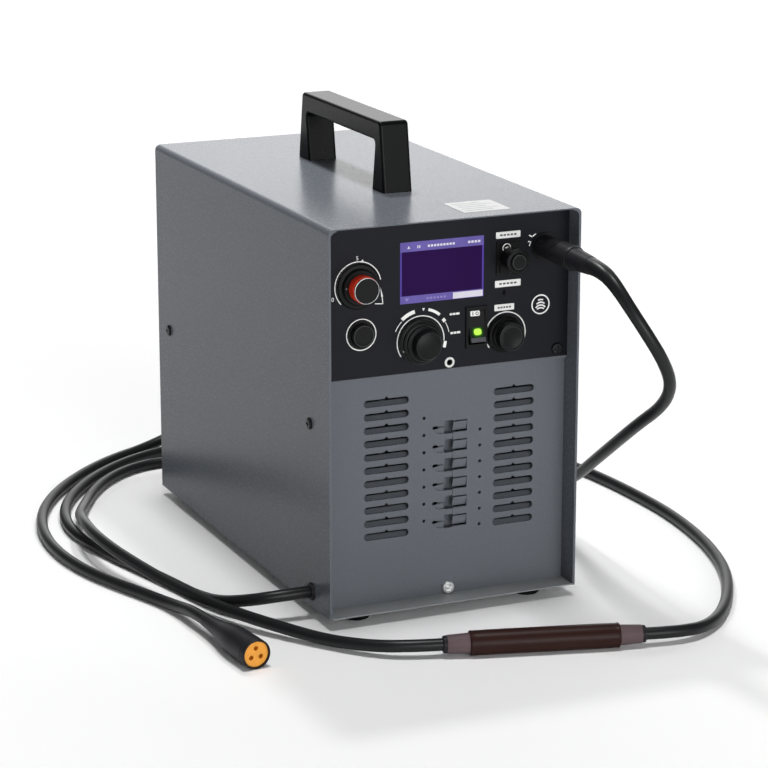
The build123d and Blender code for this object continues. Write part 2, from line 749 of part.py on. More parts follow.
with BuildPart() as joint_sleeves:
    for side in (-1, 1):
        near = side * joint_half
        far = side * (joint_half + sleeve_length)
        turned(joint_axis, [(0, near), (8.2, near), (7.0, far - side * 2.5), (7.0, far), (0, far)])
save(joint_sleeves, "joint_sleeves")

# Glands where leads enter the casing
with BuildPart() as side_gland:
    turned(
        axis_plane(side_exit, (-1, 0, 0)),
        [(0, -6), (8.6, -6), (8.6, -sheet), (6.6, -sheet), (6.6, 0), (7.6, 0), (6.6, side_flange),
         (0, side_flange)],
    )
save(side_gland, "side_gland")

with BuildPart() as rear_gland:
    turned(
        axis_plane(rear_exit, (0, 1, 0)),
        [(0, -9), (10.5, -9), (10.5, -sheet), (8, -sheet), (8, 0), (11.5, 0), (11.5, 7), (10.5, 8), (10, 14),
         (7.4, 16), (5.6, rear_gland_length - 2), (5.3, rear_gland_length), (0, rear_gland_length)],
    )
save(rear_gland, "rear_gland")

# Supply connector with a yellow three-hole insert
connector_axis = axis_plane(connector_start, connector_direction)
with BuildPart() as connector_body:
    shell = connector_length
    turned(
        connector_axis,
        [(0, 0), (5.4, 0), (5.8, 10), (6.6, 20), (7.8, 29), (9.4, 38), (10.8, 47), (11.7, 56),
         (connector_radius, shell - 6), (connector_radius, shell - 1), (connector_radius - 0.6, shell),
         (connector_bore, shell), (connector_bore, shell - insert_depth), (0, shell - insert_depth)],
    )
save(connector_body, "connector_body")

with BuildPart() as connector_insert:
    face = shell - 1.6
    turned(
        connector_axis,
        [(0, shell - insert_depth), (connector_bore, shell - insert_depth), (connector_bore, face - 0.6),
         (connector_bore - 0.6, face), (0, face)],
    )
    face_plane = Plane(
        origin=connector_start + connector_direction * face, x_dir=(0, 0, 1), z_dir=connector_direction
    )
    with BuildSketch(face_plane) as contact_holes:
        with PolarLocations(contact_ring, 3):
            Circle(contact_radius)
    extrude(amount=-8, mode=Mode.SUBTRACT)
save(connector_insert, "connector_insert")

# Routes of the leads, from the exit to the far end
relief_end = panel_y - plug_length - relief_length
joint_right = joint_centre + joint_direction * (joint_half + sleeve_length)
joint_left = joint_centre - joint_direction * (joint_half + sleeve_length)
side_start = (left - side_flange, side_exit[1], side_exit[2])
rear_start = (rear_exit[0], rear_y + rear_gland_length, rear_exit[2])

torch_route = [
    (torch_spot[0], relief_end, torch_spot[1]),
    (torch_spot[0], -283.0, torch_spot[1]),
    (86.5, -302.0, 288.5),
    (91.5, -318.5, 272.5),
    (102.0, -328.0, 252.5),
    (116.0, -328.5, 231.0),
    (130.5, -317.5, 207.5),
    (138.5, -291.0, 183.0),
    (139.0, -248.5, 156.0),
    (144.0, -203.5, 128.0),
    (151.5, -157.0, 100.5),
    (161.0, -110.5, 74.0),
    (168.0, -63.0, 50.0),
    (168.0, -15.0, 25.0),
    (161.0, 30.0, 9.0),
    (151.0, 69.0, lead_rest),
    (147.0, 109.0, lead_rest),
    (159.0, 149.0, lead_rest),
    (191.0, 175.0, lead_rest),
    (232.0, 172.0, lead_rest),
    (263.0, 143.0, lead_rest),
    (274.0, 101.0, lead_rest),
    (280.0, 52.0, lead_rest),
    (283.0, 0.0, lead_rest),
    (283.0, -53.0, lead_rest),
    (277.0, -107.0, lead_rest),
    (266.0, -160.0, lead_rest),
    (249.0, -210.0, lead_rest),
    (225.0, -256.0, lead_rest),
    (196.0, -297.0, lead_rest),
    (165.0, -327.0, 7.0),
    tuple(joint_right + joint_direction * 30),
    tuple(joint_right),
]

side_route = [
    side_start,
    (-137.0, side_exit[1], side_exit[2]),
    (-160.0, -150.0, 17.0),
    (-175.0, -124.0, 9.5),
    (-183.0, -90.0, lead_rest),
    (-191.0, -52.0, lead_rest),
    (-201.0, -11.0, lead_rest),
    (-212.0, 31.0, lead_rest),
    (-221.0, 73.0, lead_rest),
    (-225.0, 115.0, lead_rest),
    (-219.0, 156.0, lead_rest),
    (-205.0, 194.0, lead_rest),
    (-183.0, 230.0, lead_rest),
    (-156.0, 262.0, lead_rest),
    (-124.0, 290.0, lead_rest),
    (-88.0, 311.0, lead_rest),
    (-48.0, 322.0, lead_rest),
    (-7.0, 331.0, lead_rest),
    (34.0, 344.0, lead_rest),
    (76.0, 346.0, lead_rest),
    (111.0, 324.0, lead_rest),
    (124.0, 284.0, lead_rest),
    (107.0, 246.0, lead_rest),
    (69.0, 228.0, lead_rest),
    (28.0, 236.0, lead_rest),
    (-11.0, 257.0, lead_rest),
    (-49.0, 276.0, lead_rest),
    (-86.0, 284.0, lead_rest),
    (-119.0, 273.0, lead_rest),
    (-147.0, 250.0, lead_rest),
    (-170.0, 221.0, lead_rest),
    (-189.0, 187.0, lead_rest),
    (-206.0, 150.0, 9.0),
    (-217.0, 112.0, 18.0),
    (-226.0, 74.0, 25.0),
    (-229.0, 38.0, 26.0),
    (-225.0, 0.0, 23.5),
    (-215.0, -40.0, 19.5),
    (-203.0, -81.0, 15.5),
    (-189.0, -121.0, 12.5),
    (-173.0, -161.0, 11.0),
    (-151.0, -199.0, 9.0),
    (-128.0, -232.0, 6.5),
    (-105.0, -261.0, 8.0),
    tuple(joint_left - joint_direction * 30),
    tuple(joint_left),
]

supply_route = [
    rear_start,
    (rear_exit[0], 245.0, rear_exit[2]),
    (21.0, 274.0, 36.0),
    (11.0, 301.0, 32.5),
    (-6.0, 323.0, 29.0),
    (-29.0, 337.0, 23.0),
    (-57.0, 339.0, 11.0),
    (-88.0, 330.0, lead_rest),
    (-119.0, 313.0, lead_rest),
    (-150.0, 289.0, lead_rest),
    (-179.0, 260.0, lead_rest),
    (-205.0, 227.0, lead_rest),
    (-227.0, 190.0, lead_rest),
    (-243.0, 149.0, lead_rest),
    (-252.0, 105.0, lead_rest),
    (-254.0, 60.0, lead_rest),
    (-249.0, 16.0, lead_rest),
    (-238.0, -24.0, lead_rest),
    (-224.0, -61.0, lead_rest),
    (-212.0, -94.0, lead_rest),
    (-207.0, -121.0, 8.0),
    tuple(connector_start - connector_direction * 22),
    tuple(connector_start),
]


def corner_radii(route):
    """The largest bend that each corner's two runs leave room for."""
    points = [Vector(point) for point in route]
    radii = []
    for before, corner, after in zip(points, points[1:], points[2:]):
        run_in = corner - before
        run_out = after - corner
        half_turn = radians(run_in.get_angle(run_out)) / 2
        radii.append(0.45 * min(run_in.length, run_out.length) / tan(half_turn))
    return radii


leads = {"torch_lead": torch_route, "side_lead": side_route, "supply_lead": supply_route}
for name, route in leads.items():
    radii = corner_radii(route)
    with BuildPart() as lead:
        with BuildLine() as path:
            FilletPolyline(*route, radius=radii)
        with BuildSketch(Plane(origin=path.line @ 0, z_dir=path.line % 0)):
            Circle(lead_radius)
        sweep(path=path.line)
    length = path.wires()[0].length
    share = lead.part.volume / (pi * lead_radius**2 * length)
    print(name, "length", round(length), "volume share", round(share, 4))
    print(name, "radii", [round(radius) for radius in radii])
    save(lead, name)

# Wire spool on its hub
hub_axis = cross_axis(spool_spot)
with BuildPart() as spool_hub:
    turned(
        hub_axis,
        [(0, divider_right), (32, divider_right), (32, spool_inner - 1), (hub_radius, spool_inner - 1),
         (hub_radius, spool_outer + 1), (8, spool_outer + 1), (8, 106), (0, 106)],
    )
save(spool_hub, "spool_hub")

with BuildPart() as wire_spool:
    bore = hub_radius + running
    turned(
        hub_axis,
        [(bore, spool_inner), (spool_radius, spool_inner), (spool_radius, spool_inner + spool_flange),
         (barrel_radius, spool_inner + spool_flange), (barrel_radius, spool_outer - spool_flange),
         (spool_radius, spool_outer - spool_flange), (spool_radius, spool_outer), (bore, spool_outer)],
    )
    with BuildSketch(Plane(origin=(spool_outer + 1, *spool_spot), x_dir=(0, 1, 0), z_dir=(1, 0, 0))):
        with PolarLocations(68, 6):
            Circle(13)
    extrude(amount=-(spool_flange + 1), mode=Mode.SUBTRACT)
save(wire_spool, "wire_spool")

with BuildPart() as wire_winding:
    first = spool_inner + spool_flange
    last = spool_outer - spool_flange
    turned(
        hub_axis,
        [(barrel_radius, first), (wound_radius, first), (wound_radius, last), (barrel_radius, last)],
    )
save(wire_winding, "wire_winding")

with BuildPart() as spool_nut:
    turned(
        hub_axis,
        [(8.1, spool_outer + 1.2), (29, spool_outer + 1.2), (29, 103), (14, 103.6), (13, 106), (8.1, 106)],
    )
    for angle in range(0, 360, 60):
        y = spool_spot[0] + 30 * cos(radians(angle))
        z = spool_spot[1] + 30 * sin(radians(angle))
        rod((98, y, z), (107, y, z), 6, Mode.SUBTRACT)
save(spool_nut, "spool_nut")

# Wire feeder: the motor drives the upper roller, and a sprung arm lifts the lower one
with BuildPart() as feed_motor:
    motor_z = drive_z - 2.4
    box((divider_right, roller_y - 23, motor_z - 18), (66, roller_y + 23, motor_z + 17))
    rod((-44, roller_y, motor_z), (divider_right, roller_y, motor_z), 18)
    rod((-50, roller_y, motor_z), (-44, roller_y, motor_z), 12)
    rod((48, roller_y, drive_z), (67, roller_y, drive_z), 4 + running, Mode.SUBTRACT)
save(feed_motor, "feed_motor")

with BuildPart() as feed_bracket:
    tension_x, tension_y = tension_spot
    box((66, -138, 256), (74, -46, 320))
    for y in (-131, -53):
        rod((divider_right, y, 262), (66, y, 262), 5)
    box((74, -138, 286), (94, -122, 300))
    box((74, -68, 285), (94, -50, 300))
    rod((74, *arm_pivot), (84, *arm_pivot), 3)
    rod((tension_x, tension_y, 286), (tension_x, tension_y, 222), 2.5)
    rod((66, roller_y, drive_z), (74, roller_y, drive_z), 4 + running, Mode.SUBTRACT)
    rod((wire_x, -139, wire_z), (wire_x, -45, wire_z), 1.2, Mode.SUBTRACT)
save(feed_bracket, "feed_bracket")

with BuildPart() as drive_roller:
    turned(
        cross_axis((roller_y, drive_z)),
        [(0, 50), (4, 50), (4, 83), (drive_radius, 83), (drive_radius, wire_x - 1.2),
         (drive_radius - 0.7, wire_x), (drive_radius, wire_x + 1.2), (drive_radius, 94), (7, 94), (7, 97),
         (0, 97)],
    )
save(drive_roller, "drive_roller")

with BuildPart() as pressure_arm:
    with BuildSketch(Plane.YZ.offset(75)) as arm_shape:
        with Locations(arm_pivot):
            Circle(8)
        with Locations((-62, 268)):
            Circle(5)
        with Locations((roller_y, press_z)):
            Circle(6)
        make_hull()
    extrude(amount=6)
    box((75, tension_y - 9, 263), (91, tension_y + 9, 273))
    rod((81, roller_y, press_z), (95, roller_y, press_z), 3)
    rod((74, *arm_pivot), (82, *arm_pivot), 3 + running, Mode.SUBTRACT)
    rod((tension_x, tension_y, 262), (tension_x, tension_y, 274), 4.8, Mode.SUBTRACT)
save(pressure_arm, "pressure_arm")

with BuildPart() as pressure_roller:
    turned(
        cross_axis((roller_y, press_z)),
        [(3 + running, 84), (press_radius, 84), (press_radius, 93), (3 + running, 93)],
    )
save(pressure_roller, "pressure_roller")


def spring_point(quarter):
    """A point on the tension spring's line after a number of quarter turns."""
    angle = quarter * pi / 2
    rise = (spring_high - spring_low) / (4 * spring_turns)
    return Vector(
        tension_x + spring_radius * cos(angle),
        tension_y + spring_radius * sin(angle),
        spring_low + rise * quarter,
    )


with BuildPart() as tension_spring:
    with BuildLine() as coil:
        heading = Vector(0, spring_radius * pi / 2, (spring_high - spring_low) / (4 * spring_turns))
        for quarter in range(4 * spring_turns):
            arc = TangentArc(spring_point(quarter), spring_point(quarter + 1), tangent=heading)
            heading = arc % 1
    with BuildSketch(Plane(origin=coil.line @ 0, z_dir=coil.line % 0)):
        Circle(spring_wire)
    sweep(path=coil.line)
save(tension_spring, "tension_spring")
print("spring gap", round((spring_high - spring_low) / spring_turns - 2 * spring_wire, 2))

with BuildPart() as tension_knob:
    turned(
        Plane(origin=(tension_x, tension_y, 0), x_dir=(1, 0, 0), z_dir=(0, -1, 0)),
        [(2.5 + running, 225), (8, 225), (9, 226), (9, 239.6), (8, 240.8), (2.5 + running, 240.8)],
    )
save(tension_knob, "tension_knob")

# Fan behind the rear panel
fan_back = rear_y - sheet
fan_front = fan_back - fan_depth
with BuildPart() as fan_frame:
    x, z = fan_spot
    half = fan_size / 2
    box((x - half, fan_front, z - half), (x + half, fan_back, z + half))
    fillet(fan_frame.edges().filter_by(Axis.Y), 5)
    rod((x, fan_front - 1, z), (x, fan_back + 1, z), fan_bore, Mode.SUBTRACT)
    rod((x, fan_front, z), (x, fan_front + 4, z), 16)
    box((x - half + 1, fan_front, z - 2), (x + half - 1, fan_front + 3, z + 2))
    box((x - 2, fan_front, z - half + 1), (x + 2, fan_front + 3, z + half - 1))
    rod((x, fan_front - 1, z), (x, fan_front + 5, z), pin_radius + running, Mode.SUBTRACT)
save(fan_frame, "fan_frame")

with BuildPart() as fan_rotor:
    rod((x, fan_front + 0.5, z), (x, fan_front + 6, z), pin_radius)
    rod((x, fan_front + 5, z), (x, fan_back - 2, z), 15)
    hub_plane = Plane(origin=(x, (fan_front + fan_back) / 2 + 1.5, z), x_dir=(1, 0, 0), z_dir=(0, 1, 0))
    with Locations(hub_plane):
        with PolarLocations(25.2, 7):
            Box(22, 17, 1.6, rotation=(38, 0, 0))
save(fan_rotor, "fan_rotor")

# Power electronics on the base
board_top = board_z + board_thickness
with BuildPart() as power_board:
    box((-100, -140, board_z), (22, 130, board_top))
    for x, y in ((-94, -134), (16, -134), (-94, 124), (16, 124)):
        rod((x, y, floor_top), (x, y, board_z), 3.5)
    for x, y in ((-70, -122), (-46, -122)):
        box((x - 9, y - 7, board_top), (x + 9, y + 7, board_top + 16))
save(power_board, "power_board")

with BuildPart() as heat_sink:
    box((-97, -100, board_top), (-43, 115, board_top + 7))
    for fin in range(9):
        x = -96 + fin * 6.4
        box((x, -100, board_top + 7), (x + 1.8, 115, board_top + 62))
save(heat_sink, "heat_sink")

with BuildPart() as transformer:
    box((-34, -124, board_top), (20, -84, board_top + 52))
    for x in (-25, 2):
        box((x, -125, board_top + 10), (x + 9, -83, board_top + 42), Mode.SUBTRACT)
    with BuildSketch(Plane.XY.offset(board_top + 11)):
        with Locations((-7, -104)):
            RectangleRounded(31, 58, 10)
    extrude(amount=30)
save(transformer, "transformer")

with BuildPart() as capacitors:
    for y in (-40, 0, 40):
        turned(
            Plane(origin=(-12, y, board_top), x_dir=(1, 0, 0), z_dir=(0, -1, 0)),
            [(0, 0), (15.4, 0), (15.4, 3), (15, 3.6), (15.4, 4.2), (15.4, 44), (14.6, 45), (0, 45)],
        )
save(capacitors, "capacitors")

# Gas valve with its spigot through the rear panel
with BuildPart() as gas_valve:
    x, z = gas_spot
    box((x - 15, 128, z - 16), (x + 15, 164, z + 10))
    rod((x, 146, z + 10), (x, 146, z + 36), 12)
    spigot_axis = axis_plane((x, rear_y, z), (0, 1, 0))
    end = 6 + spigot_length
    turned(
        spigot_axis,
        [(0, 164 - rear_y), (9, 164 - rear_y), (9, -sheet), (6.5, -sheet), (6.5, 0), (9.5, 0), (9.5, 6),
         (spigot_radius, 6), (spigot_radius, end), (0, end)],
    )
save(gas_valve, "gas_valve")
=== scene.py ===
"""Finishes, printing, leads and studio for a compact wire-fed arc welder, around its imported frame.

Places and sizes in the classes are millimetres in the part's own frame: +Z is up and the front faces -Y.
"""

import logging
import math
from dataclasses import dataclass
from enum import Enum
from typing import Iterable, Optional, Sequence, Union

import bmesh
import bpy
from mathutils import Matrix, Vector


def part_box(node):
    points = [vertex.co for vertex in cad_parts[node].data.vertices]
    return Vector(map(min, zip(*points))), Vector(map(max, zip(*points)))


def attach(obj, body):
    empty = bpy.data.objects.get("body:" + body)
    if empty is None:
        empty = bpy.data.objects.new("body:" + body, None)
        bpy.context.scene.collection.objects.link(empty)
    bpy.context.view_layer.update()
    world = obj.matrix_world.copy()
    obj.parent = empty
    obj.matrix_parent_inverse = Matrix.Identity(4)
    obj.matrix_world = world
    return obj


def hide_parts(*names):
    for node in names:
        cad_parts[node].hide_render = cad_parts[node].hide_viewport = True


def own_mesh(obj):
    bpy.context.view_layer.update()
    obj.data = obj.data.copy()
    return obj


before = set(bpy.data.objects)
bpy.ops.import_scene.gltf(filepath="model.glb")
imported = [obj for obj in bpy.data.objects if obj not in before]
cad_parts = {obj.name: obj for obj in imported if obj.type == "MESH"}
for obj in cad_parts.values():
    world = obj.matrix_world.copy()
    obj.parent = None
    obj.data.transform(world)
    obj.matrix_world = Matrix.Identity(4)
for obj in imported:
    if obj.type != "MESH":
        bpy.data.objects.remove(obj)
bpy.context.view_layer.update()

log = logging.getLogger("welder")

MM = 0.001
# Edges that turn by more than this stay sharp, in degrees.
SHARP_ANGLE = 32.0

Point = tuple[float, float]
Place = tuple[float, float, float]
Colour = tuple[float, float, float, float]
Outline = Sequence[Point]
# The heights of a form's back and front over its working plane, or another pair of limits.
Span = tuple[float, float]
# A small printed bar: its middle, its width and height, and its tilt in degrees.
Mark = tuple[Point, Point, float]
# The name or number of a node's socket, or the name of a property.
Key = Union[str, int]

WHITE: Colour = (1.0, 1.0, 1.0, 1.0)
BLACK: Colour = (0.0, 0.0, 0.0, 1.0)
# Sockets of the Mix node's colour form, which shares its socket names with the other forms.
MIX_A = 6
MIX_B = 7
MIX_RESULT = 2


class Body(Enum):
    """The bodies that pieces ride on."""

    CASE = "case"
    COLLAR_KNOB = "collar_knob"
    CURRENT_KNOB = "current_knob"
    VOLTAGE_KNOB = "voltage_knob"
    MODE_BUTTON = "mode_button"
    INCH_BUTTON = "inch_button"
    ROCKER = "power_rocker"
    SPOOL = "spool"


class Pattern(Enum):
    """How a surface's texture lies: stretch along X, Y and Z, and how many octaves it has."""

    PEEL = ((1.0, 1.0, 1.0), 1.5)
    GRAIN = ((1.0, 1.0, 1.0), 5.0)
    CAST = ((1.0, 1.0, 1.0), 8.0)
    BRUSHED_X = ((0.03, 1.0, 1.0), 4.0)
    BRUSHED_Y = ((1.0, 0.03, 1.0), 4.0)


class FarEnd(Enum):
    """What is on the far end of a lead."""

    FITTING = "fitting"
    CONNECTOR = "connector"


class JointEnd(Enum):
    """The ends of the inline joint, by their direction along its axis."""

    RIGHT = 1
    LEFT = -1


def linear(code: str) -> Colour:
    """Turn an sRGB hex value into a linear colour.

    Args:
        code: the colour as #rrggbb.

    Returns:
        Red, green and blue in linear light, with an alpha of 1.
    """
    values = [int(code[start:start + 2], 16) / 255 for start in (1, 3, 5)]
    red, green, blue = [v / 12.92 if v <= 0.04045 else ((v + 0.055) / 1.055) ** 2.4 for v in values]
    return red, green, blue, 1.0


def scaled(colour: Colour, share: float) -> Colour:
    """Multiply a linear colour's red, green and blue by a share, none of them going over 1."""
    red, green, blue = [min(1.0, channel * share) for channel in colour[:3]]
    return red, green, blue, 1.0


def add_node(
    tree: bpy.types.NodeTree,
    kind: str,
    settings: Optional[dict[Key, object]] = None,
    links: Optional[dict[Key, bpy.types.NodeSocket]] = None,
) -> bpy.types.Node:
    """Add a node with its settings and links.

    Args:
        tree: the tree that the node goes into.
        kind: Blender's name for the node.
        settings: values by the name or number of a socket, or by the name of a property.
        links: the sockets that feed its sockets, by name or number.

    Returns:
        The new node.
    """
    node = tree.nodes.new(kind)
    for key, value in (settings or {}).items():
        if isinstance(key, int) or key in node.inputs:
            node.inputs[key].default_value = value
        else:
            setattr(node, key, value)
    for key, source in (links or {}).items():
        tree.links.new(source, node.inputs[key])
    return node


def empty_material(name: str) -> bpy.types.Material:
    """Make a material with no nodes in it yet.

    Args:
        name: the material's name.

    Returns:
        The material.
    """
    material = bpy.data.materials.new(name)
    material.use_nodes = True
    material.node_tree.nodes.clear()
    return material


@dataclass(frozen=True)
class Surface:
    """What a piece is made of, as the eye sees it."""

    name: str
    colour: str

    def material(self) -> bpy.types.Material:
        """Find the surface's material, or make it on first use."""
        return bpy.data.materials.get(self.name) or self.make()

    def make(self) -> bpy.types.Material:
        """Build the material's nodes, in the way of each kind of surface."""
        raise NotImplementedError


@dataclass(frozen=True)
class Finish(Surface):
    """A solid surface: its colour, gloss and the texture that its making left."""

    roughness: float
    pattern: Pattern
    grain_mm: float
    depth_mm: float
    mottle: float = 0.06
    drift_mm: float = 90.0
    gloss_drift: float = 0.05
    metallic: float = 0.0
    ior: float = 1.5
    specular: float = 0.5
    edge_mm: float = 0.5
    # How much lighter the colour is painted on edges: a painted highlight.
    edge_highlight_lift: float = 1.3

    def make(self) -> bpy.types.Material:
        """Build the material's nodes.

        Returns:
            The new material.
        """
        material = empty_material(self.name)
        tree = material.node_tree
        stretch, octaves = self.pattern.value
        where = add_node(tree, "ShaderNodeTexCoord").outputs["Object"]
        lie = add_node(tree, "ShaderNodeMapping", {"Scale": stretch}, {"Vector": where})
        grain = add_node(
            tree,
            "ShaderNodeTexNoise",
            {"Scale": 1 / (self.grain_mm * MM), "Detail": octaves, "Roughness": 0.55},
            {"Vector": lie.outputs[0]},
        )
        eased = add_node(tree, "ShaderNodeBevel", {"samples": 4, "Radius": self.edge_mm * MM})
        gloss = add_node(
            tree,
            "ShaderNodeMapRange",
            {
                "From Min": 0.3,
                "From Max": 0.7,
                "To Min": self.roughness - self.gloss_drift,
                "To Max": self.roughness + self.gloss_drift,
            },
            {"Value": grain.outputs[0]},
        )
        bump = add_node(
            tree,
            "ShaderNodeBump",
            {"Strength": 1.0, "Distance": self.depth_mm * MM},
            {"Height": grain.outputs[0], "Normal": eased.outputs[0]},
        )
        settings = {"Metallic": self.metallic, "Specular IOR Level": self.specular}
        if not self.metallic:
            settings["IOR"] = self.ior
        shader = add_node(
            tree,
            "ShaderNodeBsdfPrincipled",
            settings,
            {
                "Base Color": self.tint(tree, where, eased.outputs[0]),
                "Roughness": gloss.outputs[0],
                "Normal": bump.outputs[0],
            },
        )
        add_node(tree, "ShaderNodeOutputMaterial", links={"Surface": shader.outputs[0]})
        return material

    def tint(
        self, tree: bpy.types.NodeTree, where: bpy.types.NodeSocket, eased: bpy.types.NodeSocket
    ) -> bpy.types.NodeSocket:
        """Build the colour, which drifts a little over the surface and is painted lighter on its edges as a
        highlight.

        Args:
            tree: the material's node tree.
            where: the place on the object.
            eased: the direction that the surface faces with its edges eased.

        Returns:
            The colour.
        """
        base = linear(self.colour)
        drift = add_node(
            tree, "ShaderNodeTexNoise", {"Scale": 1 / (self.drift_mm * MM), "Detail": 3.0}, {"Vector": where}
        )
        dark = scaled(base, 1 - self.mottle)
        light = scaled(base, 1 + self.mottle)
        shade = add_node(
            tree, "ShaderNodeMix", {"data_type": "RGBA", MIX_A: dark, MIX_B: light}, {0: drift.outputs[0]}
        )
        flat = add_node(tree, "ShaderNodeNewGeometry").outputs["Normal"]
        turn = add_node(tree, "ShaderNodeVectorMath", {"operation": "DOT_PRODUCT"}, {0: eased, 1: flat})
        # Painted highlight: the edges, found where the eased normal turns away from the flat one.
        painted_edge_highlight = add_node(
            tree,
            "ShaderNodeMapRange",
            {"From Min": 0.995, "From Max": 0.8},
            {"Value": turn.outputs["Value"]},
        )
        tint = add_node(
            tree,
            "ShaderNodeMix",
            {"data_type": "RGBA", MIX_B: scaled(base, self.edge_highlight_lift)},
            {0: painted_edge_highlight.outputs[0], MIX_A: shade.outputs[MIX_RESULT]},
        )
        return tint.outputs[MIX_RESULT]


@dataclass(frozen=True)
class LitFilm(Surface):
    """A backlit layer behind a satin cover, a little uneven in brightness."""

    strength: float = 1.0
    patch_mm: float = 30.0
    unevenness: float = 0.12
    roughness: float = 0.3
    specular: float = 0.06

    def make(self) -> bpy.types.Material:
        """Build the material's nodes.

        Returns:
            The new material.
        """
        material = empty_material(self.name)
        tree = material.node_tree
        base = linear(self.colour)
        where = add_node(tree, "ShaderNodeTexCoord").outputs["Object"]
        patches = add_node(
            tree, "ShaderNodeTexNoise", {"Scale": 1 / (self.patch_mm * MM), "Detail": 1.0}, {"Vector": where}
        )
        dim = scaled(base, 1 - self.unevenness)
        bright = scaled(base, 1 + self.unevenness)
        light = add_node(
            tree, "ShaderNodeMix", {"data_type": "RGBA", MIX_A: dim, MIX_B: bright}, {0: patches.outputs[0]}
        )
        shader = add_node(
            tree,
            "ShaderNodeBsdfPrincipled",
            {
                "Base Color": BLACK,
                "Roughness": self.roughness,
                "Specular IOR Level": self.specular,
                "Emission Strength": self.strength,
            },
            {"Emission Color": light.outputs[MIX_RESULT]},
        )
        add_node(tree, "ShaderNodeOutputMaterial", links={"Surface": shader.outputs[0]})
        return material


# Powder baked onto sheet steel: an even slate grey with a fine orange peel that breaks up reflections.
# The peel is drawn about twice as coarse as it is, so that it shows.
POWDER_COAT = Finish(
    "powder_coat_baked_grey", "#62666c", 0.25, Pattern.PEEL, 1.9, 0.038,
    specular=0.075, mottle=0.04, drift_mm=150.0, edge_highlight_lift=1.2,
)
# The base tray's coat: a paler, more neutral grey than the cover's, painted light that brightens its front
# lip, which lies in shade.
LIT_TRAY_COAT = Finish(
    "powder_coat_grey_painted_lit", "#8f9294", 0.4, Pattern.PEEL, 1.9, 0.045,
    specular=0.1, mottle=0.05, drift_mm=60.0,
)
# Printed polycarbonate overlay: a dull, very even black that hardly reflects.
OVERLAY = Finish(
    "polycarbonate_overlay_black", "#15161c", 0.42, Pattern.GRAIN, 0.9, 0.008, specular=0.12, edge_highlight_lift=2.2
)
# Moulded ABS of the handle: black, glossy where its top catches the light.
HANDLE_ABS = Finish(
    "abs_moulded_gloss_black", "#070809", 0.3, Pattern.GRAIN, 1.1, 0.02, specular=0.09, edge_highlight_lift=2.0
)
# Moulded ABS of knobs and buttons: black with a satin sheen on the rims, partly real gloss and partly a
# painted highlight on its edges.
KNOB_ABS = Finish(
    "abs_moulded_satin_black", "#0d0e0e", 0.36, Pattern.GRAIN, 0.7, 0.012,
    specular=0.15, edge_mm=0.4, edge_highlight_lift=2.4,
)
# Dyed ABS of the collar: a warm red with a soft shine.
COLLAR_ABS = Finish(
    "abs_moulded_red", "#e63c24", 0.34, Pattern.GRAIN, 0.8, 0.01,
    specular=0.2, mottle=0.08, drift_mm=14.0, edge_highlight_lift=1.1,
)
# Screen-printed ink: flat white, slightly uneven where it is thin.
INK_WHITE = Finish(
    "ink_screen_printed_white", "#f0f0ee", 0.6, Pattern.GRAIN, 0.6, 0.004, mottle=0.09, drift_mm=4.0
)
# The grey of the same ink printed thin.
INK_GREY = Finish(
    "ink_screen_printed_grey", "#85878a", 0.6, Pattern.GRAIN, 0.6, 0.004, mottle=0.09, drift_mm=4.0
)
# The same ink in charcoal.
INK_CHARCOAL = Finish("ink_screen_printed_charcoal", "#4c4d50", 0.6, Pattern.GRAIN, 0.6, 0.004, mottle=0.09)
# Printed vinyl of the panel's labels: white with a faint sheen.
LABEL_VINYL = Finish(
    "vinyl_label_white", "#e4e4e2", 0.5, Pattern.GRAIN, 0.5, 0.004, mottle=0.05, drift_mm=6.0
)
# Painted sheen on the rocker's lower half: grey ABS standing in for the light that its curved lower end
# catches.
ROCKER_SHEEN_ABS = Finish("abs_painted_sheen_grey", "#4b4c50", 0.4, Pattern.GRAIN, 0.8, 0.01, specular=0.2)
# Painted highlight on the edges of caps and buttons: a thin grey line.
EDGE_HIGHLIGHT_ABS = Finish("abs_painted_edge_highlight_grey", "#46484a", 0.4, Pattern.GRAIN, 0.6, 0.006, specular=0.2)
# Gloss ink of the panel's diamond and the rocker's signs: a deeper black than the overlay.
INK_BLACK = Finish("ink_gloss_black", "#020202", 0.2, Pattern.GRAIN, 0.6, 0.002, specular=0.1)
# Coated paper of the roof's sheet: bright white with a faint tooth.
PAPER = Finish("paper_coated_white", "#c6c7c6", 0.6, Pattern.GRAIN, 0.5, 0.006, mottle=0.03, drift_mm=12.0)
# Moulded nylon of the jack's ring: milky white.
NYLON = Finish("nylon_moulded_white", "#d6d7d4", 0.35, Pattern.GRAIN, 0.6, 0.006, ior=1.53, drift_mm=6.0)
# Moulded rubber of the feet: dead black and dull.
FOOT_RUBBER = Finish(
    "rubber_moulded_black", "#0c0c0d", 0.75, Pattern.GRAIN, 1.0, 0.03, ior=1.52, specular=0.15
)
# Extruded PVC of the leads: charcoal with a long soft highlight.
LEAD_PVC = Finish(
    "pvc_extruded_black", "#191a1b", 0.36, Pattern.GRAIN, 1.2, 0.012,
    ior=1.53, specular=0.2, drift_mm=45.0, edge_highlight_lift=1.0,
)
# Moulded PVC of plugs, glands and the connector: nearly black, duller than the leads.
PLUG_PVC = Finish(
    "pvc_moulded_black", "#1f1f23", 0.46, Pattern.GRAIN, 0.9, 0.015, ior=1.53, specular=0.14, edge_highlight_lift=1.8
)
# Dipped grip of the inline joint: dark brown with a waxy sheen.
GRIP_BROWN = Finish(
    "vinyl_dipped_brown", "#2b1713", 0.38, Pattern.GRAIN, 1.4, 0.012,
    specular=0.12, mottle=0.14, drift_mm=22.0, edge_highlight_lift=1.2,
)
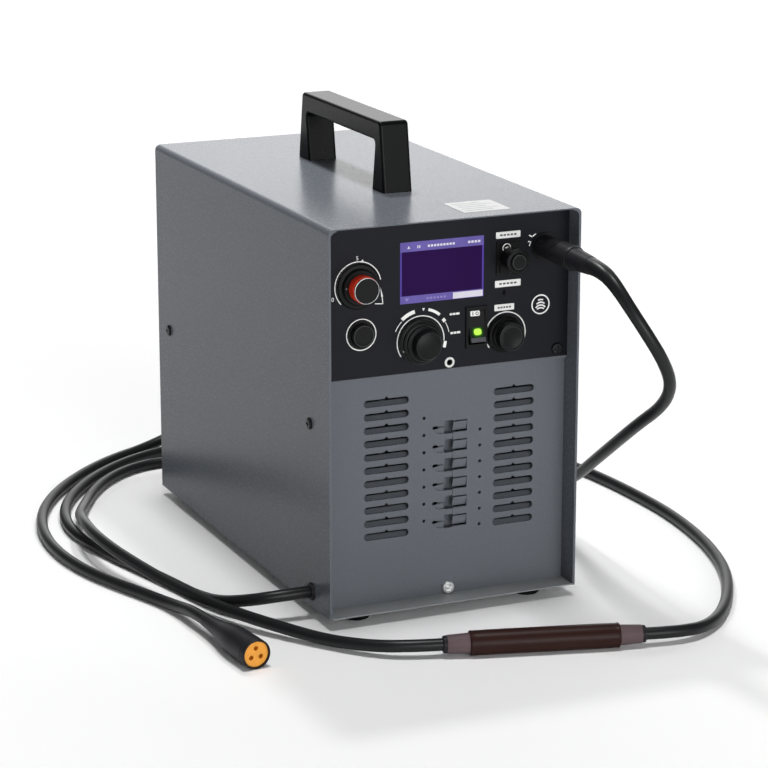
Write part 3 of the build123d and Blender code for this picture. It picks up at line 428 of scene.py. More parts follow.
# Moulded sleeves of the joint: mauve grey, chalky.
SLEEVE = Finish("nylon_moulded_mauve", "#5c4d4f", 0.55, Pattern.GRAIN, 0.8, 0.01, ior=1.53, specular=0.15)
# Moulded contact block of the connector: orange yellow, a little glossy.
INSERT_AMBER = Finish(
    "nylon_moulded_amber", "#e89c30", 0.34, Pattern.GRAIN, 0.6, 0.006, mottle=0.1, drift_mm=5.0
)
# Zinc on turned steel: bright, faintly drawn.
ZINC = Finish(
    "steel_zinc_plated", "#c3c6c9", 0.26, Pattern.BRUSHED_X, 0.5, 0.006,
    metallic=1.0, mottle=0.1, drift_mm=8.0, edge_highlight_lift=1.1,
)
# Turned stainless steel of the front's screw: silver, with a soft bright face.
STAINLESS = Finish(
    "steel_stainless_turned", "#eceded", 0.36, Pattern.GRAIN, 0.5, 0.006, metallic=1.0, edge_highlight_lift=1.1
)
# Black oxide on screws: dark metal with a dull gleam.
BLACK_OXIDE = Finish(
    "steel_black_oxide", "#303133", 0.36, Pattern.CAST, 0.6, 0.008,
    metallic=1.0, mottle=0.2, drift_mm=5.0, edge_highlight_lift=1.5,
)
# Rolled zinc-coated sheet of the divider: pale grey with rolling marks.
ZINC_SHEET = Finish(
    "steel_zinc_sheet_rolled", "#9fa4a8", 0.38, Pattern.BRUSHED_Y, 2.0, 0.01,
    metallic=1.0, mottle=0.1, drift_mm=25.0,
)
# Die-cast aluminium of the feeder: matt silver with a pebbled skin.
CAST_ALUMINIUM = Finish(
    "aluminium_die_cast", "#a3a6a8", 0.46, Pattern.CAST, 1.6, 0.03, metallic=1.0, mottle=0.08, drift_mm=20.0
)
# Extruded aluminium of the heat sink: clean silver with drawing lines.
DRAWN_ALUMINIUM = Finish("aluminium_extruded", "#b4b7ba", 0.32, Pattern.BRUSHED_Y, 0.8, 0.01, metallic=1.0)
# Enamelled steel of the motor can and fan: black with a thick soft gloss.
ENAMEL_BLACK = Finish("enamel_baked_black", "#121314", 0.3, Pattern.PEEL, 2.5, 0.02, specular=0.3)
# Moulded polystyrene of the wire reel: charcoal with a mild shine.
REEL_PLASTIC = Finish(
    "polystyrene_moulded_charcoal", "#222326", 0.36, Pattern.GRAIN, 1.2, 0.01, ior=1.59, specular=0.35
)
# Copper-coated welding wire: pinkish metal, bright along each turn.
COPPER_WIRE = Finish(
    "steel_wire_copper_coated", "#c98a66", 0.28, Pattern.BRUSHED_Y, 1.0, 0.004,
    metallic=1.0, mottle=0.12, drift_mm=15.0,
)
# Glass-epoxy board under lacquer: deep green with a faint weave.
BOARD = Finish("glass_epoxy_lacquered_green", "#12502f", 0.3, Pattern.GRAIN, 0.9, 0.01, drift_mm=12.0)
# Varnished laminations and tape of the transformer: brown black.
VARNISH = Finish(
    "laminations_varnished", "#3b2f29", 0.42, Pattern.BRUSHED_X, 0.7, 0.02, mottle=0.15, drift_mm=12.0
)
# Shrunk sleeve of the capacitors: navy, glossy.
CAPACITOR_SLEEVE = Finish("pvc_sleeve_navy", "#1d2740", 0.24, Pattern.GRAIN, 1.0, 0.004)
# Turned brass of the gas fitting: warm yellow with lathe lines.
BRASS = Finish(
    "brass_turned", "#c9a45c", 0.25, Pattern.BRUSHED_X, 0.6, 0.008, metallic=1.0, mottle=0.1, drift_mm=8.0
)
# Turned aluminium rim on the collar knob's cap: a thin bright line.
CAP_RIM = Finish("aluminium_turned_bright", "#d8dadc", 0.3, Pattern.GRAIN, 0.5, 0.004, metallic=1.0)

# Screen: deep violet ground, paler bands above and below, brighter rims and a white field.
SCREEN_GROUND = LitFilm("screen_lit_violet", "#260844")
SCREEN_RIM = LitFilm("screen_lit_rim", "#54449c")
SCREEN_BAND = LitFilm("screen_lit_band", "#6a5ea6", unevenness=0.2, patch_mm=9.0)
SCREEN_WHITE = LitFilm("screen_lit_white", "#dcd8e4", unevenness=0.06, patch_mm=6.0)
SCREEN_FAINT = LitFilm("screen_lit_faint", "#8f83c0", unevenness=0.2, patch_mm=4.0)
# Lamp in the rocker: yellow green and bright, with its glow on the plastic round it.
LAMP_GREEN = LitFilm("lamp_lens_green", "#c0f658", strength=1.15, unevenness=0.1, patch_mm=3.0)
LAMP_GLOWS = [
    LitFilm(f"lamp_glow_green_{reach}", colour, unevenness=0.2, patch_mm=4.0)
    for reach, colour in (("near", "#2f6a10"), ("mid", "#1e4410"), ("far", "#12280e"))
]


@dataclass(frozen=True)
class Face:
    """A working plane on the object: a place, with its right and up directions."""

    origin: Place
    right: Place = (1.0, 0.0, 0.0)
    up: Place = (0.0, 0.0, 1.0)

    def at(self, across: float, along: float, height: float) -> Vector:
        """Find a point by its distances on the plane.

        Args:
            across: distance to the right.
            along: distance up the plane.
            height: distance out of the plane.

        Returns:
            The point, in metres.
        """
        right = Vector(self.right)
        up = Vector(self.up)
        return (Vector(self.origin) + right * across + up * along + right.cross(up) * height) * MM

    @classmethod
    def facing(cls, origin: Place, out: Place) -> "Face":
        """Make an upright plane that faces along a level direction."""
        right = Vector((0.0, 0.0, 1.0)).cross(Vector(out).normalized())
        return cls(origin, tuple(right))


@dataclass(frozen=True)
class Flutes:
    """Fine grip flutes round a turned piece, between two distances along its axis."""

    count: int
    depth: float
    reach: Span

    def cut(self, angle: float, distance: float) -> float:
        """Find how far the surface is cut in.

        Args:
            angle: the angle round the axis, in radians.
            distance: the distance along the axis.

        Returns:
            The depth of the cut there.
        """
        low, high = self.reach
        if not low <= distance <= high:
            return 0.0
        return self.depth * (0.5 - 0.5 * math.cos(self.count * angle))


@dataclass(frozen=True)
class Stroke:
    """A line drawn round a centre: its radius, its width, and its first and last angle in degrees."""

    radius: float
    width: float
    start: float = 0.0
    end: float = 360.0


@dataclass(frozen=True)
class Dashes:
    """A row of equal bars: how many, where the first is, their pitch, and their width and height."""

    count: int
    first: float
    pitch: float
    size: Point


def polar(centre: Point, radius: float, angle: float) -> Point:
    """Find the point at a radius and an angle, in radians, round a centre."""
    return centre[0] + radius * math.cos(angle), centre[1] + radius * math.sin(angle)


def moved(outline: Outline, by: Point) -> Outline:
    """Move an outline by a distance across and a distance along."""
    return [(x + by[0], y + by[1]) for x, y in outline]


def arc(centre: Point, radius: float, start: float, end: float, step: float = 3.0) -> Outline:
    """List points along an arc.

    Args:
        centre: the arc's centre.
        radius: its radius.
        start: the angle of its first point, in degrees.
        end: the angle of its last point.
        step: the largest angle between points.

    Returns:
        The points.
    """
    count = max(1, math.ceil(abs(end - start) / step))
    angles = [math.radians(start + (end - start) * k / count) for k in range(count + 1)]
    return [polar(centre, radius, angle) for angle in angles]


def rounded(low: Point, high: Point, radius: float) -> Outline:
    """List the outline of a rectangle with round corners.

    Args:
        low: its lower left corner.
        high: its upper right corner.
        radius: the corners' radius.

    Returns:
        The points, anticlockwise.
    """
    corners = [
        ((high[0] - radius, high[1] - radius), 0.0),
        ((low[0] + radius, high[1] - radius), 90.0),
        ((low[0] + radius, low[1] + radius), 180.0),
        ((high[0] - radius, low[1] + radius), 270.0),
    ]
    bends = [arc(centre, radius, start, start + 90.0, step=15.0) for centre, start in corners]
    return [point for bend in bends for point in bend]


def helix(face: Face, radius: float, span: Span, turns: int, per_turn: int) -> list[Vector]:
    """List points along a helix that climbs out of a plane.

    Args:
        face: the plane, with the helix's axis at its origin.
        radius: the helix's radius.
        span: the heights of its first and last point.
        turns: how many turns it has.
        per_turn: how many points each turn has.

    Returns:
        The points, in metres.
    """
    low, high = span
    count = turns * per_turn
    points = []
    for step in range(count + 1):
        x, y = polar((0.0, 0.0), radius, 2 * math.pi * step / per_turn)
        points.append(face.at(x, y, low + (high - low) * step / count))
    return points


def round_curve(
    name: str, kind: str, points: Sequence[Iterable[float]], radius: float, roundness: int
) -> bpy.types.Curve:
    """Make a curve of one open spline with a round section.

    Args:
        name: the curve's name.
        kind: Blender's name for the kind of spline.
        points: the spline's points, in metres.
        radius: the section's radius.
        roundness: how finely the section is divided.

    Returns:
        The curve.
    """
    curve = bpy.data.curves.new(name, "CURVE")
    curve.dimensions = "3D"
    curve.bevel_depth = radius * MM
    curve.bevel_resolution = roundness
    curve.use_fill_caps = True
    spline = curve.splines.new(kind)
    spline.points.add(len(points) - 1)
    for point, place in zip(spline.points, points):
        point.co = (*place, 1.0)
    return curve


def mesh_of(curve: bpy.types.Curve) -> bpy.types.Mesh:
    """Turn a curve or a text into a mesh.

    Args:
        curve: the curve, which is removed.

    Returns:
        The mesh.
    """
    holder = bpy.data.objects.new(curve.name, curve)
    mesh = bpy.data.meshes.new_from_object(holder)
    bpy.data.objects.remove(holder)
    bpy.data.curves.remove(curve)
    return mesh


def enrol(
    piece: bpy.types.Object,
    body: Body,
    replaces: Iterable[str] = (),
) -> bpy.types.Object:
    """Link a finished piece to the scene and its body.

    Args:
        piece: the piece, in place.
        body: the body that it moves with.
        replaces: the CAD nodes that it stands for.

    Returns:
        The piece.
    """
    bpy.context.scene.collection.objects.link(piece)
    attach(piece, body.value)
    for node in replaces:
        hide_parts(node)
    log.info("built %s on %s", piece.name, body.value)
    return piece


class Blank:
    """A mesh under construction on a working plane."""

    def __init__(self, face: Face) -> None:
        """Start an empty mesh on a plane."""
        self.face = face
        self.bm = bmesh.new()

    def ring(self, outline: Outline, height: float) -> list[bmesh.types.BMVert]:
        """Add the points of an outline at one height, and list their vertices."""
        return [self.bm.verts.new(self.face.at(x, y, height)) for x, y in outline]

    def block(self, outline: Outline, layer: Span, ease: float = 0.0) -> None:
        """Add a plate of any outline, with its upper rim eased if asked.

        Args:
            outline: the plate's outline, anticlockwise.
            layer: the heights of its back and front.
            ease: how far its rim is chamfered.
        """
        low, high = layer
        rows = [self.ring(outline, low), self.ring(outline, high - ease)]
        if ease:
            middle = Vector((sum(x for x, _ in outline), sum(y for _, y in outline))) / len(outline)
            arms = [Vector(point) - middle for point in outline]
            rows.append(self.ring([tuple(middle + arm * (1 - ease / arm.length)) for arm in arms], high))
        self.bm.faces.new(list(reversed(rows[0])))
        self.bm.faces.new(rows[-1])
        for lower, upper in zip(rows, rows[1:]):
            for k in range(len(lower)):
                n = (k + 1) % len(lower)
                self.bm.faces.new((lower[k], lower[n], upper[n], upper[k]))

    def stroke(self, centre: Point, line: Stroke, layer: Span) -> None:
        """Add an arc, or a whole ring where it spans 360 degrees.

        Args:
            centre: the arc's centre.
            line: its radius, width and angles.
            layer: the heights of its back and front.
        """
        low, high = layer
        inner = arc(centre, line.radius - line.width / 2, line.start, line.end)
        outer = arc(centre, line.radius + line.width / 2, line.start, line.end)
        closed = abs(line.end - line.start) >= 360.0
        if closed:
            inner = inner[:-1]
            outer = outer[:-1]
        edges = ((inner, low), (outer, low), (outer, high), (inner, high))
        rows = [self.ring(edge, height) for edge, height in edges]
        count = len(inner)
        for row, following in zip(rows, rows[1:] + rows[:1]):
            for k in range(count if closed else count - 1):
                n = (k + 1) % count
                self.bm.faces.new((row[k], row[n], following[n], following[k]))
        if not closed:
            for end in (0, -1):
                self.bm.faces.new([row[end] for row in rows])

    def bar(self, centre: Point, size: Point, layer: Span, tilt: float = 0.0) -> None:
        """Add a small straight bar.

        Args:
            centre: its middle.
            size: its width and height.
            layer: the heights of its back and front.
            tilt: how far it is turned anticlockwise, in degrees.
        """
        right = size[0] / 2
        top = size[1] / 2
        cosine = math.cos(math.radians(tilt))
        sine = math.sin(math.radians(tilt))
        corners = [(-right, -top), (right, -top), (right, top), (-right, top)]
        outline = [(x * cosine - y * sine, x * sine + y * cosine) for x, y in corners]
        self.block(moved(outline, centre), layer)

    def marks(self, marks: Iterable[Mark], origin: Point, layer: Span) -> None:
        """Add small bars, each placed from one point."""
        for (across, along), size, tilt in marks:
            self.bar((origin[0] + across, origin[1] + along), size, layer, tilt)

    def dashes(self, row: Dashes, origin: Point, layer: Span) -> None:
        """Add a row of equal bars, placed from one point."""
        for k in range(row.count):
            self.bar((origin[0] + row.first + k * row.pitch, origin[1]), row.size, layer)

    def turned(
        self,
        profile: Outline,
        centre: Point = (0.0, 0.0),
        steps: int = 96,
        flutes: Optional[Flutes] = None,
        loop: bool = False,
    ) -> None:
        """Add a piece turned about an axis out of the plane.

        Args:
            profile: its (radius, distance) points, from back to front.
            centre: where the axis meets the plane.
            steps: how many points each ring has.
            flutes: grip flutes in its side, where it has them.
            loop: whether the profile closes on itself, as a ring's does.
        """
        angles = [2 * math.pi * k / steps for k in range(steps)]
        rows = []
        for radius, distance in profile:
            if radius == 0:
                rows.append(self.ring([centre], distance))
                continue
            cuts = [flutes.cut(angle, distance) if flutes else 0.0 for angle in angles]
            outline = [polar(centre, radius - cut, angle) for angle, cut in zip(angles, cuts)]
            rows.append(self.ring(outline, distance))
        if loop:
            rows.append(rows[0])
        for lower, upper in zip(rows, rows[1:]):
            for k in range(steps):
                n = (k + 1) % steps
                below = [lower[k % len(lower)], lower[n % len(lower)]]
                above = [upper[n % len(upper)], upper[k % len(upper)]]
                self.bm.faces.new(list(dict.fromkeys(below + above)))

    def figures(self, text: str, size: float, centre: Point, layer: Span) -> None:
        """Add plain numbers as raised print.

        Args:
            text: the figures.
            size: their height.
            centre: their middle.
            layer: the heights of their back and front.
        """
        low, high = layer
        curve = bpy.data.curves.new("figures", "FONT")
        curve.body = text
        curve.size = size
        curve.align_x = "CENTER"
        curve.align_y = "CENTER"
        curve.extrude = (high - low) / 2
        mesh = mesh_of(curve)
        middle = (low + high) / 2
        for vertex in mesh.vertices:
            x, y, z = vertex.co
            vertex.co = self.face.at(centre[0] + x, centre[1] + y, middle + z)
        self.bm.from_mesh(mesh)
        bpy.data.meshes.remove(mesh)

    def make(
        self,
        name: str,
        surface: Surface,
        body: Body,
        slot: Optional[str] = None,
        replaces: Iterable[str] = (),
    ) -> bpy.types.Object:
        """Finish the mesh as a piece of the object.

        Args:
            name: the piece's name.
            surface: its finish.
            body: the body that it moves with.
            slot: the record's material slot, where one fits; not used.
            replaces: the CAD nodes that it stands for.

        Returns:
            The piece.
        """
        bmesh.ops.remove_doubles(self.bm, verts=self.bm.verts, dist=1e-7)
        bmesh.ops.recalc_face_normals(self.bm, faces=self.bm.faces)
        mesh = bpy.data.meshes.new(name)
        self.bm.to_mesh(mesh)
        self.bm.free()
        mesh.polygons.foreach_set("use_smooth", [True] * len(mesh.polygons))
        mesh.set_sharp_from_angle(angle=math.radians(SHARP_ANGLE))
        mesh.materials.append(surface.material())
        return enrol(bpy.data.objects.new(name, mesh), body, replaces)


def middle_of(node: str) -> Place:
    """Find the middle of a CAD node's box, in millimetres."""
    low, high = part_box(node)
    return tuple((low + high) / 2 / MM)


def spot_of(node: str) -> Point:
    """Find the (x, z) of a CAD node's middle, which is where a control's axis meets the panel."""
    x, _, z = middle_of(node)
    return x, z


def front_of(node: str) -> float:
    """Find how far to the front a CAD node reaches, as its least Y in millimetres."""
    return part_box(node)[0].y / MM


def plane_on(node: str) -> Face:
    """Make the upright plane on the front of a CAD node, with its origin at X and Z of 0."""
    return Face((0.0, front_of(node), 0.0))


def dress(surface: Surface, *nodes: str) -> None:
    """Give CAD nodes a finish.

    Args:
        surface: the finish.
        nodes: the nodes' names.
    """
    for node in nodes:
        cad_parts[node].data.materials[0] = surface.material()
        log.info("dressed %s in %s", node, surface.name)


@dataclass
class Casing:
    """The sheet-metal box with its handle, feet and screws."""

    sheet_low: Point = (14.5, -183.0)
    sheet_high: Point = (56.0, -143.0)
    sheet_corner: float = 1.2
    sheet_layer: Span = (0.0, 0.15)
    line_layer: Span = (0.15, 0.19)
    line_rows: int = 5
    line_height: float = 1.3
    line_inset: float = 4.0
    line_shares: Point = (0.6, 0.78)

    def build(self) -> None:
        """Dress the casing and lay the blank sheet on its roof."""
        dress(POWDER_COAT, "wrap_cover", "rear_panel", "front_grille", "wire_door")
        dress(LIT_TRAY_COAT, "base_tray")
        dress(HANDLE_ABS, "carry_handle")
        dress(FOOT_RUBBER, "rubber_feet")
        dress(BLACK_OXIDE, "m5_screws", "panel_screws")
        dress(STAINLESS, "grille_screw")
        dress(ZINC, "door_hinges")
        dress(KNOB_ABS, "door_latch")
        self.roof_sheet()

    def roof_sheet(self) -> None:
        """Lay the paper sheet on the roof, with plain ruled lines on it, long and short by turns."""
        roof = Face((0.0, 0.0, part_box("wrap_cover")[1].z / MM), up=(0.0, 1.0, 0.0))
        sheet = Blank(roof)
        sheet.block(rounded(self.sheet_low, self.sheet_high, self.sheet_corner), self.sheet_layer)
        sheet.make("roof_sheet", PAPER, Body.CASE)
        rules = Blank(roof)
        left, front = self.sheet_low
        right, rear = self.sheet_high
        pitch = (rear - front) / (self.line_rows + 1)
        for row in range(self.line_rows):
            length = (right - left) * self.line_shares[row % 2]
            middle = (left + self.line_inset + length / 2, rear - pitch * (row + 1))
            rules.bar(middle, (length, self.line_height), self.line_layer)
        rules.make("roof_sheet_rules", INK_GREY, Body.CASE)


@dataclass
class Fascia:
    """The black control panel with its printing.

    Arrows, marks and figures are placed from the middle of their own dial or control. A side dash is its
    place and width, and a wave of the ringed sign is its rise and angle.
    """

    ink: Span = (0.0, 0.1)
    collar_centre: Point = (-77.8, 277.2)
    collar_dial: Stroke = Stroke(19.7, 0.85, 222.0, 11.0)
    collar_arrows: tuple[Outline, ...] = (
        ((20.0, -10.6), (21.4, -10.2), (19.2, -2.4)),
        ((2.8, 20.0), (5.0, 19.4), (4.0, 21.4)),
    )
    collar_marks: tuple[Mark, ...] = (((21.0, -13.4), (0.7, 5.8), 8.0), ((18.0, -15.8), (7.0, 0.7), -5.0))
    collar_figures: tuple[tuple[str, Point], ...] = (("5", (-0.6, 22.4)), ("0", (-21.6, -9.0)))
    figure_size: float = 4.6
    current_centre: Point = (-23.6, 227.5)
    current_arcs: tuple[Stroke, ...] = (
        Stroke(20.5, 0.85, 214.0, -5.0),
        Stroke(24.9, 3.0, 131.0, 102.0),
        Stroke(25.9, 2.3, 75.0, 50.0),
        Stroke(25.3, 2.8, 40.0, 33.0),
        Stroke(24.0, 0.6, 156.0, 134.0),
        Stroke(25.3, 0.6, 31.0, 11.0),
        Stroke(21.9, 2.6, -6.0, -20.0),
    )
    current_arrow: Outline = ((2.4, 24.2), (3.6, 26.6), (1.2, 26.6))
    voltage_centre: Point = (51.6, 226.0)
    voltage_dial: Stroke = Stroke(17.8, 0.9, 216.0, -24.0)
    mode_ring: Stroke = Stroke(12.6, 0.8)
    side_places: tuple[Point, ...] = ((6.3, 246.7), (7.1, 231.2))
    side_dashes: tuple[Point, ...] = ((-3.4, 2.2), (-0.6, 2.4), (2.6, 3.0))
    side_height: float = 1.7
    side_slope: float = 0.02
    sign_centre: Point = (83.0, 247.1)
    sign_ring: Stroke = Stroke(7.7, 1.1)
    sign_waves: tuple[Point, ...] = ((-1.4, 50.0), (-3.7, 84.0), (-6.0, 104.0), (-8.3, 70.0))
    wave_radius: float = 5.4
    wave_line: float = 1.2
    torch_marks: tuple[Mark, ...] = (
        ((-12.3, 9.0), (3.4, 1.0), -30.0),
        ((-8.9, 9.4), (3.2, 1.0), 32.0),
        ((-13.1, 4.4), (2.6, 1.0), -12.0),
        ((-12.7, 2.4), (0.9, 3.6), -18.0),
    )
    label_strips: tuple[tuple[Point, Point], ...] = (
        ((42.3, 304.7), (63.9, 310.0)),
        ((41.8, 264.7), (64.6, 270.2)),
        ((41.5, 245.3), (59.0, 250.5)),
    )
    label_corner: float = 0.6
    label_layer: Span = (0.0, 0.25)
    label_inset_share: float = 0.14
    dash_count: int = 5
    dash_share: float = 0.72
    dash_height: float = 1.5
    dash_layer: Span = (0.25, 0.29)
    diamond: Outline = ((50.0, 257.0), (51.6, 260.0), (50.0, 263.0), (48.4, 260.0))
    diamond_layer: Span = (0.0, 0.3)
    diamond_ease: float = 0.2

    def build(self) -> None:
        """Dress the panel and print it."""
        dress(OVERLAY, "control_fascia")
        white = Blank(plane_on("control_fascia"))
        self.collar_print(white)
        self.current_print(white)
        self.small_print(white)
        white.make("panel_print", INK_WHITE, Body.CASE, "jack_white")
        self.labels()
        mark = Blank(plane_on("control_fascia"))
        mark.block(self.diamond, self.diamond_layer, self.diamond_ease)
        mark.make("panel_diamond", INK_BLACK, Body.CASE, "fascia_black")

    def collar_print(self, white: Blank) -> None:
        """Print the dial of the knob with the red collar.

        Args:
            white: the mesh that takes the print.
        """
        white.stroke(self.collar_centre, self.collar_dial, self.ink)
        for arrow in self.collar_arrows:
            white.block(moved(arrow, self.collar_centre), self.ink)
        white.marks(self.collar_marks, self.collar_centre, self.ink)
        x, z = self.collar_centre
        for text, (across, along) in self.collar_figures:
            white.figures(text, self.figure_size, (x + across, z + along), self.ink)

    def current_print(self, white: Blank) -> None:
        """Print the dial, the label arcs and the arrow of the large knob.

        Args:
            white: the mesh that takes the print.
        """
        for line in self.current_arcs:
            white.stroke(self.current_centre, line, self.ink)
        white.block(moved(self.current_arrow, self.current_centre), self.ink)

    def small_print(self, white: Blank) -> None:
        """Print the rings, marks and signs of the other controls.

        Args:
            white: the mesh that takes the print.
        """
        white.stroke(spot_of("mode_button"), self.mode_ring, self.ink)
        white.stroke(self.voltage_centre, self.voltage_dial, self.ink)
        for x, z in self.side_places:
            for step, width in self.side_dashes:
                white.bar((x + step, z + step * self.side_slope), (width, self.side_height), self.ink)
        white.stroke(self.sign_centre, self.sign_ring, self.ink)
        x, z = self.sign_centre
        for rise, angle in self.sign_waves:
            wave = Stroke(self.wave_radius, self.wave_line, 90.0 + angle / 2, 90.0 - angle / 2)
            white.stroke((x, z + rise), wave, self.ink)
        white.marks(self.torch_marks, spot_of("torch_socket"), self.ink)

    def labels(self) -> None:
        """Stick the blank white label strips on the panel, each with a plain dashed line."""
        strips = Blank(plane_on("control_fascia"))
        rules = Blank(plane_on("control_fascia"))
        for low, high in self.label_strips:
            strips.block(rounded(low, high, self.label_corner), self.label_layer)
            width = high[0] - low[0]
            inset = width * self.label_inset_share
            pitch = (width - 2 * inset) / self.dash_count
            dash = (pitch * self.dash_share, self.dash_height)
            row = Dashes(self.dash_count, inset + pitch / 2, pitch, dash)
            rules.dashes(row, (low[0], (low[1] + high[1]) / 2), self.dash_layer)
        strips.make("label_strips", LABEL_VINYL, Body.CASE, "jack_white")
        rules.make("label_rules", INK_CHARCOAL, Body.CASE)


@dataclass
class Screen:
    """The lit screen behind its cover, with plain bands and marks."""

    margin: float = 3.1
    film: float = 0.06
    rim: float = 1.5
    header: float = 7.8
    footer: float = 6.2
    band_inset: float = 0.2
    band_proud: float = 0.01
    field_share: float = 0.63
    field_inset: Span = (0.1, 0.7)
    field_low: float = 0.4
    field_height: float = 5.0
    header_line_share: float = 0.55
    header_arrow: Outline = ((6.2, -1.0), (8.8, -1.0), (7.5, 1.2))
    header_left: tuple[Dashes, ...] = (Dashes(2, 15.4, 1.6, (0.9, 2.2)), Dashes(9, 25.0, 2.7, (1.9, 1.8)))
    header_right: Dashes = Dashes(4, -13.0, 2.9, (2.1, 1.8))
    footer_arrow: Outline = ((4.0, 4.4), (6.0, 1.6), (8.0, 4.4))
    footer_line: float = 3.0
    footer_dashes: Dashes = Dashes(6, 24.0, 3.0, (1.9, 1.5))

    def build(self) -> None:
        """Light the screen and draw its ground, rims, bands, field and marks."""
        dress(OVERLAY, "display_panel")
        self.ground()
        self.bands()
        self.marks()

    def area(self) -> tuple[float, float, float, float]:
        """Find the limits of the lit area.

        Returns:
            Its left, foot, right and head.
        """
        low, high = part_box("display_panel")
        edge = self.margin
        return low.x / MM + edge, low.z / MM + edge, high.x / MM - edge, high.z / MM - edge

    def layer(self, number: int) -> Span:
        """Find the heights of the back and front of one of the stacked films, counted from 0."""
        return number * self.film, (number + 1) * self.film

    def ground(self) -> None:
        """Light the ground and the rims at its left and right."""
        left, foot, right, head = self.area()
        ground = Blank(plane_on("display_panel"))
        ground.block([(left, foot), (right, foot), (right, head), (left, head)], self.layer(0))
        ground.make("screen_ground", SCREEN_GROUND, Body.CASE, "screen_violet")
        rims = Blank(plane_on("display_panel"))
        for x in (left + self.rim / 2, right - self.rim / 2):
            rims.bar((x, (foot + head) / 2), (self.rim, head - foot), self.layer(1))
        rims.make("screen_rims", SCREEN_RIM, Body.CASE, "screen_violet")

    def bands(self) -> None:
        """Draw the paler bands along the top and the bottom."""
        left, foot, right, head = self.area()
        back, front = self.layer(1)
        bands = Blank(plane_on("display_panel"))
        for z, tall in ((head - self.header / 2, self.header), (foot + self.footer / 2, self.footer)):
            size = (right - left - 2 * self.band_inset, tall)
            bands.bar(((left + right) / 2, z), size, (back, front + self.band_proud))
        bands.make("screen_bands", SCREEN_BAND, Body.CASE, "screen_violet")

    def marks(self) -> None:
        """Draw the white field and the plain marks on both bands."""
        left, foot, right, head = self.area()
        layer = self.layer(2)
        line = head - self.header * self.header_line_share
        field_left = left + (right - left) * self.field_share + self.field_inset[0]
        field_right = right - self.field_inset[1]
        middle = ((field_left + field_right) / 2, foot + self.field_low + self.field_height / 2)
        white = Blank(plane_on("display_panel"))
        white.bar(middle, (field_right - field_left, self.field_height), layer)
        white.block(moved(self.header_arrow, (left, line)), layer)
        for row in self.header_left:
            white.dashes(row, (left, line), layer)
        white.dashes(self.header_right, (right, line), layer)
        white.make("screen_marks", SCREEN_WHITE, Body.CASE, "jack_white")
        faint = Blank(plane_on("display_panel"))
        faint.dashes(self.footer_dashes, (left, foot + self.footer_line), layer)
        faint.block(moved(self.footer_arrow, (left, foot)), layer)
        faint.make("screen_faint_marks", SCREEN_FAINT, Body.CASE, "screen_violet")


